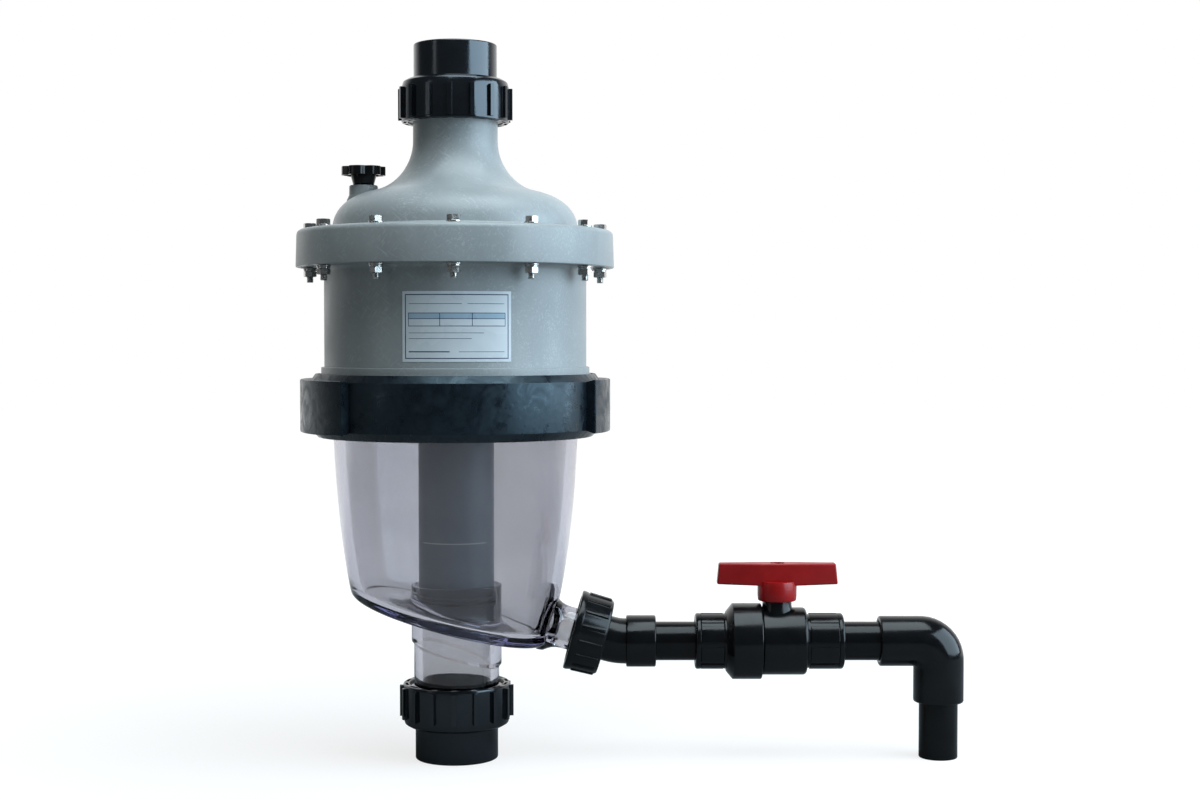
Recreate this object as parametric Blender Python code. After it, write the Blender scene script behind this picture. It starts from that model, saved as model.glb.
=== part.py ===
"""Centrifugal water pre-filter: a ring of small cyclones over a clear sump, with unions and a valved drain line.

Metres, +Z up. The vessel stands on the rim of its inlet tail and on the drain line's end pipe.
The origin is on the ground, midway between the vessel's flange and the elbow of the drain line.
"""

from math import asin, cos, hypot, pi, radians, sin, sqrt, tan, tau
from types import SimpleNamespace

import bmesh
import bpy
from mathutils import Matrix, Vector
from mathutils.geometry import interpolate_bezier

# Clearances, overruns and facets
GAP = 0.0003
OVERRUN = 0.002
EMBED = 0.0015
MERGE_DISTANCE = 0.000001
SHARP_ANGLE = radians(35)
VESSEL_SIDES = 24
UNION_SIDES = 16
PIPE_SIDES = 16
SMALL_SIDES = 12
WASHER_SIDES = 8
SEAL_SIDES = 4

# Lid: domed cover with a flared outlet neck and a skirted bolt flange
LID_FACE_Z = 0.581
LID_BORE_RADIUS = 0.03
LID_WALL = 0.0068
NECK_BASE_Z = 0.536
FLARE_HANDLE_Z = 0.521
FLARE_FOOT_INSET = 0.034
FLARE_FOOT_Z = 0.496
FLARE_FOOT_HANDLE_INSET = 0.056
FLARE_FOOT_HANDLE_Z = 0.5005
DOME_HANDLE_INSET = 0.014
DOME_HANDLE_Z = 0.4915
DOME_FOOT_INSET = 0.008
DOME_FOOT_HANDLE_INSET = 0.003
DOME_FOOT_HANDLE_Z = 0.482
DOME_FOOT_Z = 0.469
DOME_FILLET = 0.005
LID_FLANGE_TOP_Z = 0.462
LID_FLANGE_THICKNESS = 0.0143
FLANGE_WIDTH = 0.0242
FLANGE_DRAFT = 0.001
FLANGE_EDGE_ROUND = 0.0045
SKIRT_WALL = 0.0045
SKIRT_BOTTOM_Z = 0.4298

# Bleed boss on the dome, and the hand screw in it
BLEED_INSET = 0.0246
BLEED_ANGLE = radians(175)
BLEED_BOSS_RADIUS = 0.0124
BLEED_BOSS_TOP_Z = 0.5023
BLEED_BOSS_DEPTH = 0.023
BLEED_SCREW_RADIUS = 0.0062
BLEED_SCREW_LENGTH = 0.018
BLEED_SEAL_SECTION = 0.0012
BLEED_NECK_FOOT_RADIUS = 0.0091
BLEED_NECK_TOP_RADIUS = 0.0112
BLEED_NECK_HEIGHT = 0.0082
BLEED_KNOB_HEIGHT = 0.0078
BLEED_KNOB_RADIUS = 0.0192
BLEED_KNOB_WAIST = 0.0142
BLEED_KNOB_LOBES = 6
BLEED_KNOB_EDGE = 0.0012

# Housing: plain cylinder with the bolt flange on top and the lock ring's thread below
HOUSING_RADIUS = 0.114
HOUSING_WALL = 0.007
HOUSING_FLANGE_THICKNESS = 0.0172
HOUSING_FILLET = 0.004
HOUSING_THREAD_PROUD = 0.007
HOUSING_THREAD_TOP_Z = 0.3412
HOUSING_LEDGE_PROUD = 0.0027
HOUSING_LEDGE_HEIGHT = 0.0024
HOUSING_BOTTOM_Z = 0.3003
HOUSING_LIP_WIDTH = 0.007
HOUSING_LIP_HEIGHT = 0.0084

# Flange bolts
BOLT_COUNT = 12
BOLT_INSET = 0.0119
BOLT_START_ANGLE = radians(-86.3)
BOLT_SHANK_RADIUS = 0.003
BOLT_PROTRUSION = 0.005
BOLT_HEAD_HEIGHT = 0.004
NUT_HEIGHT = 0.005
HEX_RADIUS = 0.00577
WASHER_RADIUS = 0.0065
HEAD_WASHER_THICKNESS = 0.0013
NUT_WASHER_THICKNESS = 0.003

# Seal rings of the vessel
LID_SEAL_OFFSET = 0.003
LID_SEAL_SECTION = 0.0018
SUMP_SEAL_INSET = 0.0075
SUMP_SEAL_SECTION = 0.0018

# Cyclone cluster: lower partition with the cones, and the vortex finder plate above
CYCLONE_COUNT = 6
CYCLONE_WALL_GAP = 0.0042
CYCLONE_START_ANGLE = radians(20)
CYCLONE_SIDES = 8
CYCLONE_HEAD_RADIUS = 0.026
CYCLONE_WALL = 0.0025
CYCLONE_HEAD_HEIGHT = 0.036
CYCLONE_TIP_RADIUS = 0.0075
CYCLONE_TIP_Z = 0.296
PARTITION_THICKNESS = 0.007
HUB_WALL = 0.0062
HUB_HEIGHT = 0.024
HUB_STOP = 0.0035
HUB_STOP_WIDTH = 0.004
INLET_SLOT_DEPTH = 0.018
INLET_SLOT_HEIGHT = 0.012
INLET_SLOT_WIDTH = 0.0085
INLET_SLOT_OFFSET = 0.0095
VORTEX_PLATE_THICKNESS = 0.0074
FINDER_RADIUS = 0.011
FINDER_WALL = 0.0025
FINDER_LENGTH = 0.03

# Lock ring with its two wide grip lugs
RING_TOP_Z = 0.338
RING_BOTTOM_Z = 0.2835
RING_WALL = 0.0055
RING_TOP_CHAMFER = 0.0045
RING_BOTTOM_CHAMFER = 0.0025
RING_LIP_THICKNESS = 0.0072
RING_LIP_GAP = 0.0012
LUG_COUNT = 2
LUG_PROUD = 0.0085
LUG_CHAMFER = 0.006
LUG_TOP_WIDTH = 0.0065
LUG_STEPS = 5
LUG_SPAN_ANGLE = radians(74.4)
LUG_RAMP_ANGLE = radians(4.9)
LUG_CENTRE_ANGLE = radians(-167.1)

# Sump: clear, thick-walled bowl with a slanted floor, tube socket and inlet spigot
SUMP_FLANGE_PLAY = 0.0005
SUMP_FLANGE_THICKNESS = 0.009
SUMP_WALL = 0.0098
SUMP_FLANGE_WIDTH = 0.013
SUMP_TAPER_SHARE = 0.05
SUMP_BELLY = 0.0135
SUMP_BELLY_DEPTH = 0.183
SUMP_FLOOR_Z = 0.1195
SUMP_FLOOR_ANGLE = radians(15)
SUMP_FLOOR_THICKNESS = 0.008
SUMP_CORNER_ROUND = 0.011
SUMP_POCKET_ROUND = 0.014
SUMP_SHOULDER_ROUND = 0.0015
SOCKET_WALL = 0.0029
SOCKET_TOP_Z = 0.1537
SOCKET_LEDGE_Z = 0.1195
SOCKET_ROUND = 0.01
SOCKET_SEAM_WIDTH = 0.0012
SLEEVE_DROP = 0.0258
SLEEVE_STEP = 0.003
SPIGOT_WALL = 0.0072
SPIGOT_BORE_RADIUS = 0.03
WALL_SHARES = (0.33, 0.66)

# Grey centre tube from the sump's socket up to the cyclones, with the seal at its foot
TUBE_RADIUS = 0.033
TUBE_WALL = 0.0035
TUBE_SEAL_SECTION = 0.0015
TUBE_SEAL_Z = 0.1405
TUBE_RIB_HEIGHT = 0.0025
TUBE_RIB_PROUD = 0.0024

# Inlet and outlet unions
UNION_THREAD_DEPTH = 0.0042
UNION_THREAD_LENGTH = 0.024
UNION_THREAD_CHAMFER = 0.001
UNION_NUT_LENGTH = 0.0405
UNION_NUT_WALL = 0.0059
UNION_NUT_ROUND = 0.0075
UNION_RIB_COUNT = 16
UNION_RIB_PROUD = 0.0031
UNION_RIB_WIDTH = 0.0058
UNION_RIB_RUN_OUT = 0.0035
UNION_LIP = 0.006
UNION_COLLAR = 0.008
UNION_TAIL_WALL = 0.006
UNION_TAIL_BORE_RADIUS = 0.0302
UNION_STOP_WIDTH = 0.0037
UNION_STOP_DEPTH = 0.03
UNION_SEAL_INSET = 0.0065
UNION_SEAL_SECTION = 0.0015
UNION_MOUTH_DEPTH = 0.002
UNION_MOUTH_WIDTH = 0.0008
INLET_TAIL_LENGTH = 0.0411
OUTLET_TAIL_LENGTH = 0.0426

# Drain union, square to the slanted floor, and its bent tail
DRAIN_SPIGOT_WALL = 0.0067
DRAIN_BORE_RADIUS = 0.012
DRAIN_SPIGOT_START = 0.084
DRAIN_THREAD_DEPTH = 0.0058
DRAIN_THREAD_LENGTH = 0.0125
DRAIN_NUT_LENGTH = 0.028
DRAIN_NUT_WALL = 0.0091
DRAIN_NUT_ROUND = 0.004
DRAIN_RIB_PROUD = 0.0018
DRAIN_RIB_WIDTH = 0.0038
DRAIN_RIB_RUN_OUT = 0.002
DRAIN_LIP = 0.005
DRAIN_COLLAR = 0.005
DRAIN_TAIL_WALL = 0.0066
DRAIN_SEAL_INSET = 0.006
DRAIN_SEAL_SECTION = 0.0012
DRAIN_MOUTH_DEPTH = 0.006
DRAIN_MOUTH_WIDTH = 0.0045
DRAIN_RUN = 0.1464
DRAIN_TAIL_SLANT = 0.0125
DRAIN_BEND_SPREAD = 0.004
DRAIN_SOCKET_WALL = 0.0053
DRAIN_SOCKET_OFFSET = 0.0059
DRAIN_SOCKET_LENGTH = 0.0277

# Drain pipes
PIPE_WALL = 0.0037
PIPE_BORE_RADIUS = 0.0132
PIPE_INSERT = 0.02
PIPE_1_EXPOSED = 0.0343
PIPE_2_EXPOSED = 0.0316

# Ball valve with one union end
VALVE_SOCKET_WALL = 0.0071
VALVE_SOCKET_DEPTH = 0.021
VALVE_CONNECTOR_EXPOSED = 0.0269
VALVE_NUT_LENGTH = 0.0319
VALVE_NUT_WALL = 0.0058
VALVE_NUT_SHOULDER = 0.0043
VALVE_NUT_MOUTH_BEVEL = 0.001
VALVE_BODY_LENGTH = 0.0387
VALVE_BODY_STEP = 0.0019
VALVE_BODY_ROUND = 0.005
VALVE_SOCKET_EXPOSED = 0.0325
VALVE_BALL_OFFSET = 0.0134
VALVE_THREAD_WALL = 0.0083
VALVE_LIP = 0.0035
VALVE_FLANGE = 0.0035
VALVE_FLANGE_PLAY = 0.0007
VALVE_BORE_STEP = 0.0005
VALVE_CHAMBER_PLAY = 0.0006
BALL_LAND = 0.0045
SEAT_LAND = 0.0021
SEAT_STEP = 0.0005
SEAT_CONE_WIDTH = 0.0033
SEAT_BACK = 0.0165
SEAT_CONTACT_ANGLE = radians(52)

# Valve neck, stem and T-handle
VALVE_NECK_WALL = 0.006
VALVE_NECK_TOP = 0.0364
STEM_RADIUS = 0.0068
STEM_HEAD_STEP = 0.0016
STEM_TONGUE_WIDTH = 0.004
STEM_TONGUE_LENGTH = 0.0096
STEM_TONGUE_DEPTH = 0.0036
STEM_SEAL_SECTION = 0.0011
STEM_SEAL_HEIGHT = 0.026
STEM_SHOULDER_HEIGHT = 0.0195
STEM_TOP = 0.0585
HANDLE_HUB_WALL = 0.0025
HANDLE_HUB_FOOT = 0.0357
HANDLE_HUB_TAPER = 0.0006
HANDLE_CAVITY_PLAY = 0.0019
HANDLE_CAVITY_DEPTH = 0.0035
HANDLE_BAR_BASE = 0.05
HANDLE_BAR_TOP = 0.0688
HANDLE_BAR_LENGTH = 0.106
HANDLE_BAR_END_WIDTH = 0.011
HANDLE_BAR_MID_WIDTH = 0.0175
HANDLE_BAR_MID_LENGTH = 0.03
HANDLE_END_SLANT = 0.001
HANDLE_SAG = 0.0012
HANDLE_EDGE = 0.0012

# Elbow and end pipe
ELBOW_REACH = 0.0528
ELBOW_DROP = 0.0535
ELBOW_WALL = 0.0047
ELBOW_INNER_CORNER = 0.0009
ELBOW_BEND_SPREAD = 0.016
ELBOW_STEPS = 4
ELBOW_RIM_BEVEL = 0.001

# Radii that follow from the sizes above
NECK_RADIUS = LID_BORE_RADIUS + LID_WALL
HOUSING_BORE_RADIUS = HOUSING_RADIUS - HOUSING_WALL
HOUSING_LIP_RADIUS = HOUSING_BORE_RADIUS - HOUSING_LIP_WIDTH
HOUSING_THREAD_RADIUS = HOUSING_RADIUS + HOUSING_THREAD_PROUD
HOUSING_LEDGE_RADIUS = HOUSING_RADIUS + HOUSING_LEDGE_PROUD
FLANGE_RADIUS = HOUSING_RADIUS + FLANGE_WIDTH
BOLT_CIRCLE_RADIUS = FLANGE_RADIUS - BOLT_INSET
DOME_FOOT_RADIUS = HOUSING_RADIUS - DOME_FOOT_INSET
DOME_FOOT_HANDLE_RADIUS = DOME_FOOT_RADIUS - DOME_FOOT_HANDLE_INSET
DOME_HANDLE_RADIUS = DOME_FOOT_RADIUS - DOME_HANDLE_INSET
FLARE_FOOT_RADIUS = DOME_FOOT_RADIUS - FLARE_FOOT_INSET
FLARE_FOOT_HANDLE_RADIUS = DOME_FOOT_RADIUS - FLARE_FOOT_HANDLE_INSET
BLEED_REACH = DOME_FOOT_RADIUS - BLEED_INSET
RING_RADIUS = HOUSING_THREAD_RADIUS + RING_WALL
LUG_RADIUS = RING_RADIUS + LUG_PROUD
SUMP_FLANGE_RADIUS = HOUSING_THREAD_RADIUS - SUMP_FLANGE_PLAY
SUMP_TOP_RADIUS = SUMP_FLANGE_RADIUS - SUMP_FLANGE_WIDTH
LID_SEAL_RADIUS = HOUSING_RADIUS + LID_SEAL_OFFSET
SUMP_SEAL_RADIUS = SUMP_FLANGE_RADIUS - SUMP_SEAL_INSET
SPIGOT_RADIUS = SPIGOT_BORE_RADIUS + SPIGOT_WALL
SOCKET_BORE_RADIUS = TUBE_RADIUS + 2 * TUBE_SEAL_SECTION + 2 * GAP
SOCKET_RADIUS = SOCKET_BORE_RADIUS + SOCKET_WALL
SOCKET_SEAT_RADIUS = SOCKET_RADIUS + GAP
HUB_RADIUS = TUBE_RADIUS + GAP + HUB_WALL
CYCLONE_CIRCLE_RADIUS = HOUSING_BORE_RADIUS - GAP - CYCLONE_WALL_GAP - CYCLONE_HEAD_RADIUS
FINDER_BORE_RADIUS = FINDER_RADIUS - FINDER_WALL
UNION_THREAD_RADIUS = NECK_RADIUS + UNION_THREAD_DEPTH
UNION_NUT_RADIUS = UNION_THREAD_RADIUS + UNION_NUT_WALL
UNION_RIB_RADIUS = UNION_NUT_RADIUS + UNION_RIB_PROUD
UNION_TAIL_RADIUS = UNION_TAIL_BORE_RADIUS + UNION_TAIL_WALL
UNION_STOP_RADIUS = UNION_TAIL_BORE_RADIUS - UNION_STOP_WIDTH
UNION_SEAL_RADIUS = UNION_THREAD_RADIUS - UNION_SEAL_INSET
DRAIN_SPIGOT_RADIUS = DRAIN_BORE_RADIUS + DRAIN_SPIGOT_WALL
DRAIN_THREAD_RADIUS = DRAIN_SPIGOT_RADIUS + DRAIN_THREAD_DEPTH
DRAIN_NUT_RADIUS = DRAIN_THREAD_RADIUS + DRAIN_NUT_WALL
DRAIN_RIB_RADIUS = DRAIN_NUT_RADIUS + DRAIN_RIB_PROUD
DRAIN_TAIL_RADIUS = PIPE_BORE_RADIUS + DRAIN_TAIL_WALL
DRAIN_SEAL_RADIUS = DRAIN_THREAD_RADIUS - DRAIN_SEAL_INSET
PIPE_RADIUS = PIPE_BORE_RADIUS + PIPE_WALL
PIPE_SOCKET_RADIUS = PIPE_RADIUS + GAP
DRAIN_SOCKET_RADIUS = PIPE_SOCKET_RADIUS + DRAIN_SOCKET_WALL
VALVE_SOCKET_RADIUS = PIPE_SOCKET_RADIUS + VALVE_SOCKET_WALL
VALVE_BORE_RADIUS = PIPE_BORE_RADIUS - VALVE_BORE_STEP
BALL_RADIUS = VALVE_BORE_RADIUS + BALL_LAND
SEAT_INNER_RADIUS = VALVE_BORE_RADIUS + SEAT_STEP
SEAT_LAND_RADIUS = SEAT_INNER_RADIUS + SEAT_CONE_WIDTH
SEAT_OUTER_RADIUS = SEAT_LAND_RADIUS + SEAT_LAND
VALVE_CHAMBER_RADIUS = SEAT_OUTER_RADIUS + VALVE_CHAMBER_PLAY
VALVE_THREAD_RADIUS = VALVE_CHAMBER_RADIUS + VALVE_THREAD_WALL
VALVE_BODY_RADIUS = VALVE_THREAD_RADIUS + VALVE_BODY_STEP
VALVE_NUT_RADIUS = VALVE_THREAD_RADIUS + VALVE_NUT_WALL
VALVE_FLANGE_RADIUS = VALVE_THREAD_RADIUS - VALVE_FLANGE_PLAY
STEM_HEAD_RADIUS = STEM_RADIUS - STEM_HEAD_STEP
VALVE_NECK_RADIUS = STEM_RADIUS + VALVE_NECK_WALL
HANDLE_CAVITY_RADIUS = VALVE_NECK_RADIUS + HANDLE_CAVITY_PLAY
HANDLE_HUB_RADIUS = HANDLE_CAVITY_RADIUS + HANDLE_HUB_WALL
ELBOW_RADIUS = PIPE_SOCKET_RADIUS + ELBOW_WALL
ELBOW_BEND_RADIUS = ELBOW_RADIUS + ELBOW_BEND_SPREAD

# Places that follow from the sizes above
LID_FLANGE_BASE_Z = LID_FLANGE_TOP_Z - LID_FLANGE_THICKNESS
HOUSING_TOP_Z = LID_FLANGE_BASE_Z - GAP
HOUSING_FLANGE_BASE_Z = HOUSING_TOP_Z - HOUSING_FLANGE_THICKNESS
SUMP_TOP_Z = HOUSING_BOTTOM_Z - GAP
PARTITION_Z = HOUSING_BOTTOM_Z + HOUSING_LIP_HEIGHT + GAP
CYCLONE_TOP_Z = HOUSING_TOP_Z - VORTEX_PLATE_THICKNESS - GAP
BLEED_PLACE = Vector((BLEED_REACH * cos(BLEED_ANGLE), BLEED_REACH * sin(BLEED_ANGLE), 0))
FLOOR_SLOPE = tan(SUMP_FLOOR_ANGLE)
FLOOR_RISE = SUMP_FLOOR_THICKNESS / cos(SUMP_FLOOR_ANGLE)
DRAIN_START_Z = SUMP_FLOOR_Z + FLOOR_RISE + (DRAIN_BORE_RADIUS + GAP) / cos(SUMP_FLOOR_ANGLE)
PIPE_Z = DRAIN_START_Z - DRAIN_RUN * sin(SUMP_FLOOR_ANGLE)
DRAIN_FACE_RUN = DRAIN_RUN - DRAIN_TAIL_SLANT - DRAIN_LIP - DRAIN_COLLAR - 2 * GAP
BEND_X = DRAIN_RUN * cos(SUMP_FLOOR_ANGLE)
DRAIN_SOCKET_END_X = BEND_X + DRAIN_SOCKET_OFFSET + DRAIN_SOCKET_LENGTH
VALVE_START_X = DRAIN_SOCKET_END_X + PIPE_1_EXPOSED
VALVE_BODY_X = VALVE_START_X + VALVE_CONNECTOR_EXPOSED + VALVE_NUT_LENGTH
BALL_X = VALVE_BODY_X + VALVE_BALL_OFFSET
VALVE_END_X = VALVE_BODY_X + VALVE_BODY_LENGTH + VALVE_SOCKET_EXPOSED
ELBOW_X = VALVE_END_X + PIPE_2_EXPOSED + ELBOW_REACH
INLET_FACE_Z = INLET_TAIL_LENGTH
OUTLET_RIM_Z = LID_FACE_Z + OUTLET_TAIL_LENGTH
BODY_X = (FLANGE_RADIUS - ELBOW_X - ELBOW_RADIUS) / 2
FACING_X = Matrix.Rotation(pi / 2, 4, "Y")
FACING_DOWN = Matrix.Rotation(pi, 4, "X")


# Materials
def finish(name, colour, roughness, metallic=0.0, alpha=1.0):
    """A Principled material, made once and shared by the pieces of that finish."""
    material = bpy.data.materials.get(name)
    if material is None:
        material = bpy.data.materials.new(name)
        material.use_nodes = True
        shader = material.node_tree.nodes["Principled BSDF"]
        shader.inputs["Base Color"].default_value = (*colour, 1)
        shader.inputs["Roughness"].default_value = roughness
        shader.inputs["Metallic"].default_value = metallic
        shader.inputs["Alpha"].default_value = alpha
    return material


def grey_filled_plastic():
    return finish("grey_filled_plastic", (0.23, 0.27, 0.29), 0.45)


def grey_tube_plastic():
    return finish("grey_tube_plastic", (0.13, 0.17, 0.19), 0.4)


def clear_plastic():
    return finish("clear_plastic", (0.82, 0.84, 0.9), 0.05, alpha=0.25)


def black_plastic():
    return finish("black_plastic", (0.012, 0.014, 0.017), 0.22)


def red_plastic():
    return finish("red_plastic", (0.6, 0.02, 0.025), 0.38)


def stainless_steel():
    return finish("stainless_steel", (0.6, 0.6, 0.58), 0.28, metallic=1.0)


def white_seat_plastic():
    return finish("white_seat_plastic", (0.8, 0.8, 0.78), 0.4)


def seal_rubber():
    return finish("seal_rubber", (0.015, 0.015, 0.015), 0.6)


# Shape helpers
def around(radius, sides):
    """The corner radius of a faceted bore whose flats clear a round piece of this radius at any turn."""
    return (radius + GAP) / cos(pi / sides)


def circle(radius, z, sides, twist=0.0):
    angles = [twist + tau * i / sides for i in range(sides)]
    return [Vector((radius * cos(a), radius * sin(a), z)) for a in angles]


def eased(start, corner, end, steps=2):
    """Points of the curve that leaves start towards the corner and arrives at end, both ends included."""
    points = []
    for i in range(steps + 1):
        t = i / steps
        points.append(start.lerp(corner, t).lerp(corner.lerp(end, t), t))
    return points


def bezier(start, handle, end_handle, end, steps):
    return [Vector(p[:2]) for p in interpolate_bezier(start, handle, end_handle, end, steps + 1)]


def spun(profile, sides):
    """A bmesh turned from (radius, z) points. A profile whose two ends are on the axis stays open there."""
    bm = bmesh.new()
    verts = [bm.verts.new((r, 0, z)) for r, z in profile]
    edges = [bm.edges.new(pair) for pair in zip(verts, verts[1:])]
    if profile[0][0] or profile[-1][0]:
        edges.append(bm.edges.new((verts[-1], verts[0])))
    bmesh.ops.spin(
        bm, geom=verts + edges, axis=(0, 0, 1), cent=(0, 0, 0), angle=tau, steps=sides, use_merge=True
    )
    return bm


def stacked(loops, closed=False):
    """A bmesh skinned over loops of points, capped at both ends or closed from the last loop to the first."""
    bm = bmesh.new()
    rings = [[bm.verts.new(point) for point in loop] for loop in loops]
    for lower, upper in zip(rings, rings[1:] + rings[:1]) if closed else zip(rings, rings[1:]):
        if len(lower) == len(upper):
            for a, b, c, d in zip(lower, lower[1:] + lower[:1], upper[1:] + upper[:1], upper):
                bm.faces.new((a, b, c, d))
        else:
            bridge(bm, lower, upper)
    if not closed:
        bm.faces.new(rings[0])
        bm.faces.new(rings[-1])
    return bm


def bridge(bm, lower, upper):
    """Fills between two rings that start at one angle and have different numbers of points."""
    low = 0
    high = 0
    while low < len(lower) or high < len(upper):
        start = lower[low % len(lower)]
        end = upper[high % len(upper)]
        if (low + 1) * len(upper) <= (high + 1) * len(lower):
            low += 1
            bm.faces.new((start, lower[low % len(lower)], end))
        else:
            high += 1
            bm.faces.new((start, upper[high % len(upper)], end))


def face_outwards(bm):
    bmesh.ops.recalc_face_normals(bm, faces=bm.faces)
    if bm.calc_volume(signed=True) < 0:
        bmesh.ops.reverse_faces(bm, faces=bm.faces)


def made(name, bm, material, parent=None, matrix=None):
    """Turns a bmesh into an object. The matrix is applied to the mesh, and the parent carries the place."""
    if matrix is not None:
        bmesh.ops.transform(bm, matrix=matrix, verts=bm.verts)
    bmesh.ops.remove_doubles(bm, verts=bm.verts, dist=MERGE_DISTANCE)
    face_outwards(bm)
    mesh = bpy.data.meshes.new(name)
    bm.to_mesh(mesh)
    bm.free()
    mesh.shade_smooth()
    mesh.set_sharp_from_angle(angle=SHARP_ANGLE)
    mesh.materials.append(material)
    return placed(name, mesh, parent)


def placed(name, mesh, parent=None, location=(0, 0, 0), turn=0.0):
    obj = bpy.data.objects.new(name, mesh)
    bpy.context.scene.collection.objects.link(obj)
    obj.parent = parent
    obj.location = location
    obj.rotation_euler.z = turn
    return obj


def seat_empty(name, parent, location, rotation=(0, 0, 0)):
    """An empty that carries pieces: its origin is their place, and a joint's axis where they turn."""
    empty = bpy.data.objects.new(name, None)
    bpy.context.scene.collection.objects.link(empty)
    empty.parent = parent
    empty.location = location
    empty.rotation_euler = rotation
    return empty


def helper(name, bm, parent=None, matrix=None):
    """A cutter or an added shape for a Boolean: it is drawn as wire and never rendered."""
    obj = made(name, bm, black_plastic(), parent, matrix)
    obj.hide_render = True
    obj.display_type = "WIRE"
    return obj


def combine(obj, other, operation):
    modifier = obj.modifiers.new(f"{operation.lower()} {other.name}", "BOOLEAN")
    modifier.operation = operation
    modifier.solver = "EXACT"
    modifier.object = other


def merged(shapes):
    """One bmesh that holds several, each moved by its own matrix."""
    total = bmesh.new()
    for bm, matrix in shapes:
        bmesh.ops.transform(bm, matrix=matrix, verts=bm.verts)
        face_outwards(bm)
        mesh = bpy.data.meshes.new("shape")
        bm.to_mesh(mesh)
        bm.free()
        total.from_mesh(mesh)
        bpy.data.meshes.remove(mesh)
    return total


def ring_places(count, radius, start=0.0):
    """Matrices of places round a circle, each turned to face outwards."""
    places = []
    for i in range(count):
        angle = start + tau * i / count
        places.append(Matrix.Rotation(angle, 4, "Z") @ Matrix.Translation((radius, 0, 0)))
    return places


def block(low, high):
    """A box between two corners."""
    bm = bmesh.new()
    low = Vector(low)
    high = Vector(high)
    size = high - low
    matrix = Matrix.Translation((low + high) / 2) @ Matrix.Diagonal((*size, 1))
    bmesh.ops.create_cube(bm, size=1, matrix=matrix)
    return bm


def seal(name, parent, ring_radius, section, z, sides):
    """A seal ring: a round section turned about the axis."""
    angles = [tau * i / SEAL_SIDES for i in range(SEAL_SIDES)]
    profile = [Vector((ring_radius + section * cos(a), z + section * sin(a))) for a in angles]
    return made(name, spun(profile, sides), seal_rubber(), parent)


def seal_groove(ring_radius, section, face_z, into):
    """The four corners of a face groove for a seal, from its inner side to its outer, cut downwards or upwards."""
    depth = into * (2 * section + GAP)
    half = section + GAP
    inner = ring_radius - half
    outer = ring_radius + half
    return [
        Vector((inner, face_z)),
        Vector((inner, face_z + depth)),
        Vector((outer, face_z + depth)),
        Vector((outer, face_z)),
    ]


# Lid
def threaded_spigot(face_z, reach, bore_radius, radius, thread_radius, thread_length):
    """The outside and face of a union spigot. reach is +1 where it points up and -1 where it points down."""
    root_z = face_z - reach * thread_length
    return [
        Vector((radius, root_z)),
        Vector((thread_radius, root_z)),
        Vector((thread_radius, face_z - reach * UNION_THREAD_CHAMFER)),
        Vector((thread_radius - UNION_THREAD_CHAMFER, face_z)),
        Vector((bore_radius, face_z)),
    ]


def lid_profile():
    flare = bezier(
        Vector((NECK_RADIUS, NECK_BASE_Z)),
        Vector((NECK_RADIUS, FLARE_HANDLE_Z)),
        Vector((FLARE_FOOT_HANDLE_RADIUS, FLARE_FOOT_HANDLE_Z)),
        Vector((FLARE_FOOT_RADIUS, FLARE_FOOT_Z)),
        3,
    )
    dome = bezier(
        Vector((FLARE_FOOT_RADIUS, FLARE_FOOT_Z)),
        Vector((DOME_HANDLE_RADIUS, DOME_HANDLE_Z)),
        Vector((DOME_FOOT_HANDLE_RADIUS, DOME_FOOT_HANDLE_Z)),
        Vector((DOME_FOOT_RADIUS, DOME_FOOT_Z)),
        3,
    )
    spigot = threaded_spigot(
        LID_FACE_Z, 1, LID_BORE_RADIUS, NECK_RADIUS, UNION_THREAD_RADIUS, UNION_THREAD_LENGTH
    )
    rim = FLANGE_RADIUS - FLANGE_DRAFT
    flange = [Vector((DOME_FOOT_RADIUS + DOME_FILLET, LID_FLANGE_TOP_Z))]
    flange += [
        Vector((rim - FLANGE_EDGE_ROUND, LID_FLANGE_TOP_Z)),
        Vector((rim, LID_FLANGE_TOP_Z - FLANGE_EDGE_ROUND)),
    ]
    skirt = [
        Vector((FLANGE_RADIUS, SKIRT_BOTTOM_Z)),
        Vector((FLANGE_RADIUS - SKIRT_WALL, SKIRT_BOTTOM_Z)),
        Vector((FLANGE_RADIUS - SKIRT_WALL, LID_FLANGE_BASE_Z)),
        Vector((DOME_FOOT_RADIUS - LID_WALL, LID_FLANGE_BASE_Z)),
    ]
    inner_dome = bezier(
        Vector((DOME_FOOT_RADIUS - LID_WALL, DOME_FOOT_Z)),
        Vector((DOME_FOOT_HANDLE_RADIUS - LID_WALL, DOME_FOOT_HANDLE_Z - LID_WALL / 2)),
        Vector((DOME_HANDLE_RADIUS - LID_WALL, DOME_HANDLE_Z - LID_WALL)),
        Vector((FLARE_FOOT_RADIUS, FLARE_FOOT_Z - LID_WALL)),
        2,
    )
    inner_flare = bezier(
        Vector((FLARE_FOOT_RADIUS, FLARE_FOOT_Z - LID_WALL)),
        Vector((FLARE_FOOT_HANDLE_RADIUS, FLARE_FOOT_HANDLE_Z - LID_WALL)),
        Vector((LID_BORE_RADIUS, FLARE_HANDLE_Z - LID_WALL)),
        Vector((LID_BORE_RADIUS, NECK_BASE_Z)),
        2,
    )
    outside = spigot[::-1] + flare + dome[1:] + flange + skirt
    return outside + inner_dome + inner_flare[1:]


def bolt_hole_cutter(parent):
    shape = [stacked([circle(BOLT_SHANK_RADIUS + GAP, z, 6) for z in hole_ends()]) for _ in range(BOLT_COUNT)]
    places = ring_places(BOLT_COUNT, BOLT_CIRCLE_RADIUS, BOLT_START_ANGLE)
    return helper("bolt_hole_cutter", merged(zip(shape, places)), parent)


def hole_ends():
    return (HOUSING_FLANGE_BASE_Z - OVERRUN, LID_FLANGE_TOP_Z + OVERRUN)


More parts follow.
